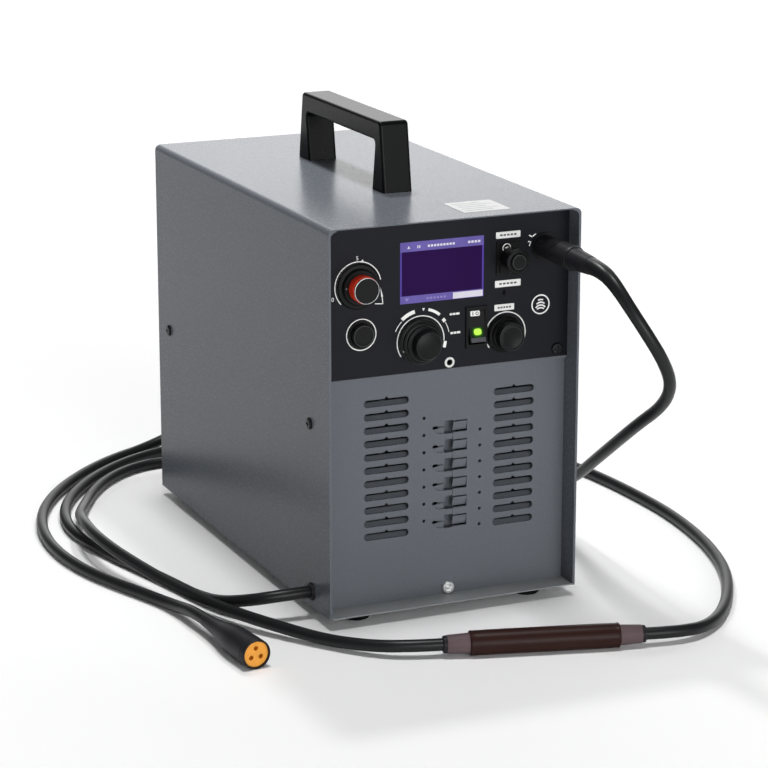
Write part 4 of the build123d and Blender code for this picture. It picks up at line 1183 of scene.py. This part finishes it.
@dataclass
class Knobs:
    """The three knobs, with fluted grips, rims and index dots; profiles are (radius, height) points."""

    flute_count: int = 40
    flute_depth: float = 0.28
    points_per_flute: int = 6
    collar_rim: Outline = ((10.05, 18.9), (10.45, 18.7), (10.55, 18.9), (10.4, 19.2), (10.05, 19.25))
    collar_dot: Point = (-12.4, 0.4)
    collar_dot_profile: Outline = ((0.0, 7.3), (0.55, 7.3), (0.45, 7.6), (0.0, 7.65))
    current_profile: Outline = (
        (6.0, 0.6), (18.1, 0.6), (18.5, 1.0), (18.5, 3.9), (18.2, 4.5), (17.6, 4.9), (16.8, 5.0),
        (16.6, 5.2), (16.6, 7.2), (16.3, 7.8), (15.7, 8.2), (14.8, 8.3), (14.55, 8.5), (14.4, 10.2),
        (14.1, 10.8), (13.4, 11.2), (12.3, 11.6), (11.95, 12.3), (11.1, 17.6), (10.9, 18.4), (10.6, 18.9),
        (10.0, 19.2), (0.0, 19.2),
    )
    current_grip: Span = (12.3, 17.6)
    current_edge_highlights: Outline = ((18.35, 4.3), (16.45, 7.5), (14.25, 10.6), (10.75, 18.75))
    current_dot: Point = (-16.0, -6.0)
    current_dot_profile: Outline = ((0.0, 4.7), (0.75, 4.7), (0.65, 5.15), (0.0, 5.25))
    voltage_profile: Outline = (
        (6.0, 0.6), (14.8, 0.6), (15.2, 1.0), (15.2, 3.1), (14.9, 3.8), (14.4, 4.2), (13.6, 4.5),
        (13.3, 4.8), (13.1, 6.5), (12.8, 7.0), (12.1, 7.4), (11.75, 8.0), (11.35, 13.4), (11.2, 14.2),
        (10.9, 14.8), (10.3, 15.0), (9.3, 15.0), (8.9, 14.7), (8.4, 14.45), (0.0, 14.4),
    )
    voltage_grip: Span = (8.0, 13.4)
    voltage_edge_highlights: Outline = ((10.95, 14.75), (8.75, 14.62))
    edge_line: float = 0.22
    edge_proud: float = 0.06
    current_edge_depth: float = 0.15
    voltage_edge_depth: float = 0.1
    dot_steps: int = 20

    def build(self) -> None:
        """Dress the collar knob and turn the two fluted ones."""
        dress(KNOB_ABS, "collar_knob_base", "collar_knob_cap")
        dress(COLLAR_ABS, "red_collar")
        dress(ZINC, "potentiometers")
        rim = Blank(plane_on("control_fascia"))
        rim.turned(self.collar_rim, spot_of("collar_knob_cap"), loop=True)
        rim.make("collar_cap_rim", CAP_RIM, Body.COLLAR_KNOB, "screw_bright")
        self.dot("collar_base_dot", "collar_knob_cap", self.collar_dot, self.collar_dot_profile, Body.CASE)
        self.fluted(Body.CURRENT_KNOB, self.current_profile, self.current_grip)
        self.dot(
            "current_knob_index",
            "current_knob",
            self.current_dot,
            self.current_dot_profile,
            Body.CURRENT_KNOB,
        )
        self.edges(Body.CURRENT_KNOB, self.current_edge_highlights, self.current_edge_depth)
        self.fluted(Body.VOLTAGE_KNOB, self.voltage_profile, self.voltage_grip)
        self.edges(Body.VOLTAGE_KNOB, self.voltage_edge_highlights, self.voltage_edge_depth)

    def fluted(self, body: Body, profile: Outline, grip: Span) -> None:
        """Turn a knob with a fluted grip, in place of its CAD node.

        Args:
            body: the knob's body, which has the name of its node.
            profile: the knob's profile.
            grip: the heights between which it is fluted.
        """
        node = body.value
        knob = Blank(plane_on("control_fascia"))
        knob.turned(
            profile,
            spot_of(node),
            steps=self.points_per_flute * self.flute_count,
            flutes=Flutes(self.flute_count, self.flute_depth, grip),
        )
        knob.make(f"{node}_turned", KNOB_ABS, body, "knob_black", [node])

    def edges(self, body: Body, edges: Outline, depth: float) -> None:
        """Draw painted highlight lines on a knob's edges.

        Args:
            body: the knob's body, which has the name of its node.
            edges: the radius and height of each line.
            depth: how far each line is sunk into the knob.
        """
        node = body.value
        lines = Blank(plane_on("control_fascia"))
        for radius, height in edges:
            line = Stroke(radius, self.edge_line)
            lines.stroke(spot_of(node), line, (height - depth, height + self.edge_proud))
        lines.make(f"{node}_edges", EDGE_HIGHLIGHT_ABS, body, "knob_black")

    def dot(self, name: str, node: str, place: Point, profile: Outline, body: Body) -> None:
        """Set a raised index dot beside a knob's axis.

        Args:
            name: the dot's name.
            node: the knob's CAD node.
            place: the dot's place, from the knob's axis.
            profile: the dot's profile.
            body: the body that it moves with.
        """
        x, z = spot_of(node)
        dot = Blank(plane_on("control_fascia"))
        dot.turned(profile, (x + place[0], z + place[1]), steps=self.dot_steps)
        dot.make(name, INK_GREY, body, "jack_white")


@dataclass
class Switches:
    """Push buttons, rocker, jack and torch socket."""

    cap_rim_highlights: tuple[tuple[Body, Stroke], ...] = (
        (Body.MODE_BUTTON, Stroke(8.2, 0.4)),
        (Body.INCH_BUTTON, Stroke(5.7, 0.4)),
    )
    rim_layer: Span = (-0.2, 0.06)
    inch_place: Point = (-2.3, -5.0)
    inch_ring: Stroke = Stroke(3.4, 0.7)
    inch_marks: tuple[Mark, ...] = (((0.0, 0.5), (3.0, 0.8), 20.0), ((0.0, -1.1), (2.2, 0.8), 20.0))
    inch_layer: Span = (2.5, 2.6)
    sign_place: Place = (-1.4, -0.68, 11.3)
    upper_lean: Point = (0.0995, 0.995)
    sign_half: Point = (4.1, 2.1)
    sign_corner: float = 0.8
    sign_field: Span = (-0.3, 0.12)
    sign_ink: Span = (0.12, 0.18)
    on_centre: Point = (-2.0, 0.0)
    on_size: Point = (0.8, 2.6)
    off_centre: Point = (1.8, 0.0)
    off_ring: Stroke = Stroke(1.1, 0.6)
    lower_lean: Point = (4.4, 14.0)
    lens_middle: float = 0.6
    glow_reach: Point = (0.7, 0.9)
    glow_corner: float = 1.8
    glow_layer: Span = (-0.3, 0.05)
    glow_step: float = 0.015
    sheen_low: Point = (-6.4, -8.4)
    sheen_high: Point = (6.4, -4.6)
    sheen_corner: float = 0.8
    sheen_layer: Span = (-0.3, 0.25)
    sheen_ease: float = 0.2
    # A dark sleeve in the jack's hole: painted shade.
    shade_liner_profile: Outline = (
        (0.0, -13.5), (1.75, -13.5), (1.75, 0.0), (2.5, 0.85), (2.3, 0.9), (1.5, 0.1), (1.3, -13.0),
        (0.0, -13.0),
    )
    shade_liner_steps: int = 40

    def build(self) -> None:
        """Dress the switches and print their signs."""
        dress(KNOB_ABS, "mode_button", "mode_button_housing", "inch_plate", "inch_button", "rocker_frame")
        dress(KNOB_ABS, "power_rocker", "torch_socket")
        dress(LAMP_GREEN, "rocker_lens")
        dress(NYLON, "jack_socket")
        self.button_rim_highlights()
        self.inch_sign()
        self.rocker_sign()
        self.lamp_glow()
        self.jack_shade_liner()

    def button_rim_highlights(self) -> None:
        """Draw a painted highlight line round the two buttons' caps."""
        for body, line in self.cap_rim_highlights:
            node = body.value
            rim = Blank(plane_on(node))
            rim.stroke(spot_of(node), line, self.rim_layer)
            rim.make(f"{node}_rim", EDGE_HIGHLIGHT_ABS, body, "button_black")

    def inch_sign(self) -> None:
        """Print the small ringed sign on the plate of the wire inch button."""
        x, _ = spot_of("inch_plate")
        across, down = self.inch_place
        spot = (x + across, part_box("inch_plate")[1].z / MM + down)
        sign = Blank(plane_on("control_fascia"))
        sign.stroke(spot, self.inch_ring, self.inch_layer)
        sign.marks(self.inch_marks, spot, self.inch_layer)
        sign.make("inch_sign", INK_WHITE, Body.CASE, "jack_white")

    def rocker_sign(self) -> None:
        """Print the switch's plain signs on the rocker's upper half."""
        x, z = spot_of("rocker_frame")
        across, out, rise = self.sign_place
        origin = (x + across, front_of("control_fascia") + out, z + rise)
        lean = Face(origin, up=(0.0, *self.upper_lean))
        right, top = self.sign_half
        plate = Blank(lean)
        plate.block(rounded((-right, -top), (right, top), self.sign_corner), self.sign_field)
        plate.make("rocker_sign_field", INK_WHITE, Body.ROCKER, "jack_white")
        signs = Blank(lean)
        signs.bar(self.on_centre, self.on_size, self.sign_ink)
        signs.stroke(self.off_centre, self.off_ring, self.sign_ink)
        signs.make("rocker_signs", INK_BLACK, Body.ROCKER, "button_black")

    def lamp_glow(self) -> None:
        """Lay the lamp's glow and a painted sheen on the rocker's lower half."""
        low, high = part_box("rocker_lens")
        slope = Vector((0.0, *self.lower_lean)).normalized()
        out = Vector((1.0, 0.0, 0.0)).cross(slope)
        origin = Vector(middle_of("rocker_lens")) + out * self.lens_middle
        face = Face(tuple(origin), up=tuple(slope))
        first, step = self.glow_reach
        back, front = self.glow_layer
        for number, film in enumerate(LAMP_GLOWS):
            reach = first + step * number
            half = ((high.x - low.x) / 2 / MM + reach, (high.z - low.z) / 2 / MM + reach)
            outline = rounded((-half[0], -half[1]), half, self.glow_corner + reach)
            glow = Blank(face)
            glow.block(outline, (back, front - self.glow_step * number))
            glow.make(film.name, film, Body.ROCKER, "lens_green")
        sheen = Blank(face)
        sheen.block(rounded(self.sheen_low, self.sheen_high, self.sheen_corner), self.sheen_layer, self.sheen_ease)
        sheen.make("rocker_painted_sheen", ROCKER_SHEEN_ABS, Body.ROCKER, "button_black")

    def jack_shade_liner(self) -> None:
        """Line the jack's hole with a dark sleeve, painted shade for the dark inside of the hole."""
        liner = Blank(plane_on("control_fascia"))
        liner.turned(self.shade_liner_profile, spot_of("jack_socket"), steps=self.shade_liner_steps)
        liner.make("jack_shade_liner", ENAMEL_BLACK, Body.CASE, "button_black")


@dataclass
class Lead:
    """One free lead along its route, thicker at its start where it has a flare."""

    node: str
    route: list[Place]
    length: float
    far_end: FarEnd
    radius: float = 5.0
    flare: tuple[float, ...] = ()

    def build(self, with_pieces: list[bpy.types.Object]) -> None:
        """Args:
            with_pieces: the separate pieces on it; not used.
        """
        name = f"{self.node}_laid"
        points = [tuple(value * MM for value in place) for place in self.route]
        curve = round_curve(name, "NURBS", points, self.radius, roundness=6)
        curve.resolution_u = 8
        spline = curve.splines[0]
        for point, share in zip(spline.points, self.flare):
            point.radius = share
        spline.order_u = 3
        spline.use_endpoint_u = True
        spline.use_smooth = True
        curve.materials.append(LEAD_PVC.material())
        piece = enrol(bpy.data.objects.new(name, curve), Body.CASE, [self.node])


@dataclass
class Leads:
    """The three leads, the torch plug, the inline joint and the supply connector.

    Profiles are (radius, distance) points, those of a mouth counted back from where it ends.
    """

    rest: float = 5.0
    torch_length: float = 1351.0
    torch_flare: tuple[float, ...] = (1.4, 1.3, 1.12)
    side_length: float = 1762.0
    supply_length: float = 769.0
    joint_centre: Place = (27.0, -309.0, 10.0)
    joint_along: Place = (156.0, -42.0, 0.0)
    joint_half: float = 60.0
    joint_run_in: float = 30.0
    grip_rim: Outline = (
        (9.0, 0.0), (9.55, 0.15), (9.9, 0.6), (10.0, 1.2), (9.9, 2.0), (9.75, 2.6), (9.8, 4.0), (9.95, 16.0)
    )
    sleeve: float = 21.0
    sleeve_collar: float = 3.0
    sleeve_root: Outline = ((0.0, 0.0), (8.1, 0.0), (8.2, 0.4))
    sleeve_mouth: Outline = ((7.35, -0.4), (7.1, 0.0), (0.0, 0.0))
    collar_root: Outline = ((5.02, 0.0), (6.9, 0.0), (7.0, 0.4))
    collar_mouth: Outline = ((6.9, -0.5), (6.5, 0.0), (5.02, 0.0))
    connector_start: Place = (-203.0, -166.0, 12.0)
    connector_along: Place = (9.0, -90.0, 0.0)
    connector_length: float = 90.0
    connector_run_in: float = 22.0
    connector_taper: Outline = (
        (0.0, 0.0), (5.3, 0.0), (5.5, 3.0), (5.8, 9.0), (6.2, 15.0), (6.7, 20.5), (7.3, 25.5), (8.0, 30.5),
        (8.8, 35.0), (9.6, 39.5), (10.3, 44.0), (10.95, 48.5), (11.4, 53.0), (11.7, 58.0), (11.85, 65.0),
        (11.95, 75.0),
    )
    connector_mouth: Outline = (
        (12.0, -7.0), (11.7, -6.8), (11.7, -6.0), (12.0, -5.8), (12.0, -0.9), (11.7, -0.2), (11.4, 0.0),
        (10.75, 0.0), (10.6, -0.3), (10.6, -12.0), (0.0, -12.0),
    )

    def build(self) -> None:
        """Dress the fittings and lay the leads."""
        dress(PLUG_PVC, "torch_plug", "torch_relief", "side_gland", "rear_gland")
        dress(INSERT_AMBER, "connector_insert")
        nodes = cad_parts
        grip = self.inline_grip()
        connector = self.connector()
        torch = Lead(
            "torch_lead", self.torch_route(), self.torch_length, FarEnd.FITTING, flare=self.torch_flare
        )
        torch.build([nodes["torch_plug"], nodes["torch_relief"], grip, *self.inline_end(JointEnd.RIGHT)])
        side = Lead("side_lead", self.side_route(), self.side_length, FarEnd.FITTING)
        side.build([nodes["side_gland"], grip, *self.inline_end(JointEnd.LEFT)])
        supply = Lead("supply_lead", self.supply_route(), self.supply_length, FarEnd.CONNECTOR)
        supply.build([nodes["rear_gland"], connector, nodes["connector_insert"]])

    def joint_tip(self, end: JointEnd, beyond: float = 0.0) -> Place:
        """Find the point on the joint's axis at one end's tip, or a distance beyond it."""
        along = Vector(self.joint_along).normalized() * end.value
        return tuple(Vector(self.joint_centre) + along * (self.joint_half + self.sleeve + beyond))

    def inline_grip(self) -> bpy.types.Object:
        """Turn the joint's grip, with the same rounded rim at both ends.

        Returns:
            The piece.
        """
        half = self.joint_half
        left = [(0.0, -half)] + [(radius, -half + step) for radius, step in self.grip_rim]
        right = [(radius, half - step) for radius, step in reversed(self.grip_rim)] + [(0.0, half)]
        grip = Blank(Face.facing(self.joint_centre, self.joint_along))
        grip.turned(left + right)
        return grip.make("joint_grip", GRIP_BROWN, Body.CASE, "joint_brown", ["joint_body"])

    def inline_end(self, end: JointEnd) -> list[bpy.types.Object]:
        """Turn the sleeve at one end of the joint and its dark collar.

        Args:
            end: which end.

        Returns:
            The pieces.
        """
        face = Face.facing(self.joint_centre, self.joint_along)
        tip = self.joint_half + self.sleeve
        seam = tip - self.sleeve_collar
        name = end.name.lower()
        profile = [*moved(self.sleeve_root, (0.0, self.joint_half)), *moved(self.sleeve_mouth, (0.0, seam))]
        sleeve = Blank(face)
        sleeve.turned([(radius, end.value * distance) for radius, distance in profile])
        profile = [*moved(self.collar_root, (0.0, seam)), *moved(self.collar_mouth, (0.0, tip))]
        collar = Blank(face)
        collar.turned([(radius, end.value * distance) for radius, distance in profile], loop=True)
        return [
            sleeve.make(f"joint_sleeve_{name}", SLEEVE, Body.CASE, "sleeve_mauve", ["joint_sleeves"]),
            collar.make(f"joint_collar_{name}", PLUG_PVC, Body.CASE, "plug_black"),
        ]

    def connector(self) -> bpy.types.Object:
        """Turn the supply connector's shell, with its tapered neck and the groove at its mouth.

        Returns:
            The piece.
        """
        shell = Blank(Face.facing(self.connector_start, self.connector_along))
        shell.turned([*self.connector_taper, *moved(self.connector_mouth, (0.0, self.connector_length))])
        return shell.make("connector_shell", PLUG_PVC, Body.CASE, "plug_black", ["connector_body"])

    def torch_route(self) -> list[Place]:
        """List the torch lead's route.

        Returns:
            Points from the plug's relief to the joint's right end.
        """
        rest = self.rest
        x, z = spot_of("torch_relief")
        return [
            (x, front_of("torch_relief"), z), (x, -283.0, z), (86.5, -302.0, 288.5), (91.5, -318.5, 272.5),
            (102.0, -328.0, 252.5), (116.0, -328.5, 231.0), (130.5, -317.5, 207.5), (138.5, -291.0, 183.0),
            (139.0, -248.5, 156.0), (144.0, -203.5, 128.0), (151.5, -157.0, 100.5), (161.0, -110.5, 74.0),
            (168.0, -63.0, 50.0), (168.0, -15.0, 25.0), (161.0, 30.0, 9.0), (151.0, 69.0, rest),
            (147.0, 109.0, rest), (159.0, 149.0, rest), (191.0, 175.0, rest), (232.0, 172.0, rest),
            (263.0, 143.0, rest), (274.0, 101.0, rest), (280.0, 52.0, rest), (283.0, 0.0, rest),
            (283.0, -53.0, rest), (277.0, -107.0, rest), (266.0, -160.0, rest), (249.0, -210.0, rest),
            (225.0, -256.0, rest), (196.0, -297.0, rest), (165.0, -327.0, 7.0),
            self.joint_tip(JointEnd.RIGHT, self.joint_run_in), self.joint_tip(JointEnd.RIGHT),
        ]

    def side_route(self) -> list[Place]:
        """List the route of the lead from the left side.

        Returns:
            Points from the side gland to the joint's left end.
        """
        rest = self.rest
        low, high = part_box("side_gland")
        y = (low.y + high.y) / 2 / MM
        z = (low.z + high.z) / 2 / MM
        return [
            (low.x / MM, y, z), (-137.0, y, z), (-160.0, -150.0, 17.0), (-175.0, -124.0, 9.5),
            (-183.0, -90.0, rest), (-191.0, -52.0, rest), (-201.0, -11.0, rest),
            (-212.0, 31.0, rest), (-221.0, 73.0, rest), (-225.0, 115.0, rest), (-219.0, 156.0, rest),
            (-205.0, 194.0, rest), (-183.0, 230.0, rest), (-156.0, 262.0, rest), (-124.0, 290.0, rest),
            (-88.0, 311.0, rest), (-48.0, 322.0, rest), (-7.0, 331.0, rest), (34.0, 344.0, rest),
            (76.0, 346.0, rest), (111.0, 324.0, rest), (124.0, 284.0, rest), (107.0, 246.0, rest),
            (69.0, 228.0, rest), (28.0, 236.0, rest), (-11.0, 257.0, rest), (-49.0, 276.0, rest),
            (-86.0, 284.0, rest), (-119.0, 273.0, rest), (-147.0, 250.0, rest), (-170.0, 221.0, rest),
            (-189.0, 187.0, rest), (-206.0, 150.0, 9.0), (-217.0, 112.0, 18.0), (-226.0, 74.0, 25.0),
            (-229.0, 38.0, 26.0), (-225.0, 0.0, 23.5), (-215.0, -40.0, 19.5), (-203.0, -81.0, 15.5),
            (-189.0, -121.0, 12.5), (-173.0, -161.0, 11.0), (-151.0, -199.0, 9.0), (-128.0, -232.0, 6.5),
            (-105.0, -261.0, 8.0),
            self.joint_tip(JointEnd.LEFT, self.joint_run_in), self.joint_tip(JointEnd.LEFT),
        ]

    def supply_route(self) -> list[Place]:
        """List the supply lead's route.

        Returns:
            Points from the rear gland to the connector.
        """
        rest = self.rest
        x, z = spot_of("rear_gland")
        start = Vector(self.connector_start)
        along = Vector(self.connector_along).normalized()
        return [
            (x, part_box("rear_gland")[1].y / MM, z), (x, 245.0, z), (21.0, 274.0, 36.0), (11.0, 301.0, 32.5),
            (-6.0, 323.0, 29.0), (-29.0, 337.0, 23.0), (-57.0, 339.0, 11.0), (-88.0, 330.0, rest),
            (-119.0, 313.0, rest), (-150.0, 289.0, rest), (-179.0, 260.0, rest), (-205.0, 227.0, rest),
            (-227.0, 190.0, rest), (-243.0, 149.0, rest), (-252.0, 105.0, rest), (-254.0, 60.0, rest),
            (-249.0, 16.0, rest), (-238.0, -24.0, rest), (-224.0, -61.0, rest), (-212.0, -94.0, rest),
            (-207.0, -121.0, 8.0), tuple(start - along * self.connector_run_in), tuple(start),
        ]


@dataclass
class WireFeeder:
    """The wire reel, its drive and the sprung arm behind the side door."""

    wire_diameter: float = 1.0
    wound_radius: float = 84.0
    barrel_radius: float = 45.0
    core_steps: int = 128
    wire_points: int = 48
    spring_radius: float = 5.0
    spring_wire: float = 0.8
    spring_turns: int = 6
    spring_points: int = 24
    spring_keep: float = 0.56

    def build(self) -> None:
        """Dress the feeder, wind the reel and coil the spring."""
        dress(ZINC_SHEET, "centre_divider")
        dress(REEL_PLASTIC, "wire_spool", "spool_hub")
        dress(KNOB_ABS, "spool_nut", "tension_knob")
        dress(ENAMEL_BLACK, "feed_motor")
        dress(CAST_ALUMINIUM, "feed_bracket", "pressure_arm")
        dress(ZINC, "drive_roller", "pressure_roller")
        self.winding()
        self.spring()

    def wire(self, name: str, points: list[Vector], radius: float, finish: Finish) -> bpy.types.Object:
        """Sweep a round wire along points.

        Args:
            name: the piece's name.
            points: the wire's line, in metres.
            radius: the wire's radius.
            finish: its finish.

        Returns:
            The piece as a mesh, not yet in the scene.
        """
        mesh = mesh_of(round_curve(name, "POLY", points, radius, roundness=2))
        mesh.name = name
        mesh.materials.clear()
        mesh.materials.append(finish.material())
        mesh.polygons.foreach_set("use_smooth", [True] * len(mesh.polygons))
        return bpy.data.objects.new(name, mesh)

    def winding(self) -> None:
        """Wind the reel: an outer layer of turns over a plain core."""
        low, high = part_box("wire_winding")
        _, y, z = middle_of("wire_winding")
        left = low.x / MM
        right = high.x / MM
        face = Face.facing((0.0, y, z), (1.0, 0.0, 0.0))
        core = Blank(face)
        outer = self.wound_radius - self.wire_diameter
        profile = [(self.barrel_radius, left), (outer, left), (outer, right), (self.barrel_radius, right)]
        core.turned(profile, steps=self.core_steps, loop=True)
        core.make("wire_winding_core", COPPER_WIRE, Body.SPOOL, "wire_copper", ["wire_winding"])
        turns = int((right - left) / self.wire_diameter) - 1
        start = left + self.wire_diameter
        span = (start, start + turns * self.wire_diameter)
        points = helix(face, self.wound_radius - self.wire_diameter / 2, span, turns, self.wire_points)
        piece = self.wire("wire_winding_turns", points, self.wire_diameter / 2, COPPER_WIRE)
        enrol(piece, Body.SPOOL, ["wire_winding"])

    def spring(self) -> None:
        """Coil the tension spring."""
        low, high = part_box("tension_spring")
        x, y, _ = middle_of("tension_spring")
        foot = low.z / MM + self.spring_wire
        head = high.z / MM - self.spring_wire
        face = Face((x, y, foot), up=(0.0, 1.0, 0.0))
        points = helix(face, self.spring_radius, (0.0, head - foot), self.spring_turns, self.spring_points)
        piece = self.wire("tension_spring_coiled", points, self.spring_wire, ZINC)
        enrol(piece, Body.CASE, ["tension_spring"])
        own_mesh(piece)


@dataclass
class Internals:
    """Fan, power pieces, boards and gas valve."""

    def build(self) -> None:
        """Dress the pieces inside the casing and on its back."""
        dress(ENAMEL_BLACK, "fan_frame", "fan_rotor")
        dress(BOARD, "power_board", "control_board")
        dress(DRAWN_ALUMINIUM, "heat_sink")
        dress(VARNISH, "transformer")
        dress(CAPACITOR_SLEEVE, "capacitors")
        dress(BRASS, "gas_valve")


@dataclass
class Studio:
    """The pale floor, the soft light and the camera at the photograph's angle.

    A sky patch is its direction, how tight it is and its strength. The paper's glow starts at the first
    distance of lit_paper from the middle of the floor, and is full at the second.
    """

    azimuth: float = -23.80834
    elevation: float = 15.19065
    distance: float = 2428.815
    target: Place = (20.050, -12.767, 144.545)
    focal_pixels: float = 2809.786
    picture_pixels: float = 768.0
    sensor: float = 36.0
    near_clip: float = 50.0
    far_clip: float = 60000.0
    floor_radius: float = 9000.0
    floor_sides: int = 64
    paper_colour: str = "#fdfdfd"
    lit_paper: Span = (420.0, 1150.0)
    lit_level: float = 0.2
    sky_level: float = 0.095
    sky_patches: tuple[tuple[Place, float, float], ...] = (
        ((0.0, -1.0, 0.0), 14.0, 9.2),
        ((0.389, 0.883, 0.262), 16.0, 2.3),
    )
    sun_strength: float = 1.75
    sun_angle: float = 14.0
    bulb_place: Place = (8.0, 107.0, 790.0)
    bulb_radius: float = 25.0
    bulb_watts: float = 7.2

    def build(self) -> None:
        """Lay the floor, light it and set the camera."""
        bpy.context.scene.view_settings.view_transform = "Standard"
        self.floor()
        self.sky()
        self.lamps()
        self.camera()

    def floor(self) -> None:
        """Lay a round floor of white paper, which is lit a little from within away from the object."""
        mesh = bpy.data.meshes.new("studio_floor")
        angles = [2 * math.pi * k / self.floor_sides for k in range(self.floor_sides)]
        rim = [(*polar((0.0, 0.0), self.floor_radius * MM, angle), 0.0) for angle in angles]
        mesh.from_pydata(rim, [], [list(range(self.floor_sides))])
        floor = bpy.data.objects.new("studio_floor", mesh)
        bpy.context.scene.collection.objects.link(floor)
        material = empty_material("studio_paper")
        tree = material.node_tree
        where = add_node(tree, "ShaderNodeTexCoord").outputs["Object"]
        reach = add_node(tree, "ShaderNodeVectorMath", {"operation": "LENGTH"}, {0: where})
        near, far = self.lit_paper
        glow = add_node(
            tree,
            "ShaderNodeMapRange",
            {"From Min": near * MM, "From Max": far * MM, "To Max": self.lit_level},
            {"Value": reach.outputs["Value"]},
        )
        paper = add_node(
            tree,
            "ShaderNodeBsdfPrincipled",
            {
                "Base Color": linear(self.paper_colour),
                "Roughness": 0.85,
                "Specular IOR Level": 0.1,
                "Emission Color": WHITE,
            },
            {"Emission Strength": glow.outputs[0]},
        )
        add_node(tree, "ShaderNodeOutputMaterial", links={"Surface": paper.outputs[0]})
        mesh.materials.append(material)

    def sky(self) -> None:
        """Set a white sky with a bright patch in front and one behind."""
        world = bpy.data.worlds.new("studio_sky")
        bpy.context.scene.world = world
        world.use_nodes = True
        tree = world.node_tree
        tree.nodes.clear()
        where = add_node(tree, "ShaderNodeTexCoord").outputs["Generated"]
        level = add_node(tree, "ShaderNodeValue")
        level.outputs[0].default_value = self.sky_level
        total = level.outputs[0]
        for towards, focus, share in self.sky_patches:
            dot = add_node(
                tree, "ShaderNodeVectorMath", {"operation": "DOT_PRODUCT", 1: towards}, {0: where}
            )
            lean = dot.outputs["Value"]
            for operation, value in (("MAXIMUM", 0.0), ("POWER", focus)):
                step = add_node(tree, "ShaderNodeMath", {"operation": operation, 1: value}, {0: lean})
                lean = step.outputs[0]
            added = add_node(
                tree, "ShaderNodeMath", {"operation": "MULTIPLY_ADD", 1: share}, {0: lean, 2: total}
            )
            total = added.outputs[0]
        light = add_node(tree, "ShaderNodeBackground", {"Color": WHITE}, {"Strength": total})
        add_node(tree, "ShaderNodeOutputWorld", links={"Surface": light.outputs[0]})

    def lamps(self) -> None:
        """Hang a wide lamp far above the object and a small one close over it."""
        sun = bpy.data.lights.new("wide_lamp", "SUN")
        sun.energy = self.sun_strength
        sun.angle = math.radians(self.sun_angle)
        bulb = bpy.data.lights.new("near_lamp", "POINT")
        bulb.energy = self.bulb_watts
        bulb.shadow_soft_size = self.bulb_radius * MM
        for lamp in (sun, bulb):
            holder = bpy.data.objects.new(lamp.name, lamp)
            holder.location = Vector(self.bulb_place) * MM
            bpy.context.scene.collection.objects.link(holder)

    def camera(self) -> None:
        """Set the camera where the photograph was taken from."""
        lens = bpy.data.cameras.new("camera")
        lens.sensor_width = self.sensor
        lens.lens = self.focal_pixels / self.picture_pixels * self.sensor
        lens.clip_start = self.near_clip * MM
        lens.clip_end = self.far_clip * MM
        camera = bpy.data.objects.new("camera", lens)
        turn = math.radians(self.azimuth)
        rise = math.radians(self.elevation)
        back = Vector((math.sin(turn) * math.cos(rise), -math.cos(turn) * math.cos(rise), math.sin(rise)))
        camera.location = (Vector(self.target) + back * self.distance) * MM
        camera.rotation_euler = (-back).to_track_quat("-Z", "Y").to_euler()
        bpy.context.scene.collection.objects.link(camera)
        bpy.context.scene.camera = camera


def main() -> None:
    """Build the studio and then the object's looks, piece by piece."""
    logging.basicConfig(level=logging.INFO, format="%(name)s: %(message)s")
    for part in (
        Studio(), Leads(), Casing(), Fascia(), Screen(), Knobs(), Switches(), WireFeeder(), Internals()
    ):
        log.info("making %s", type(part).__name__)
        part.build()


if __name__ == "__main__":
    main()
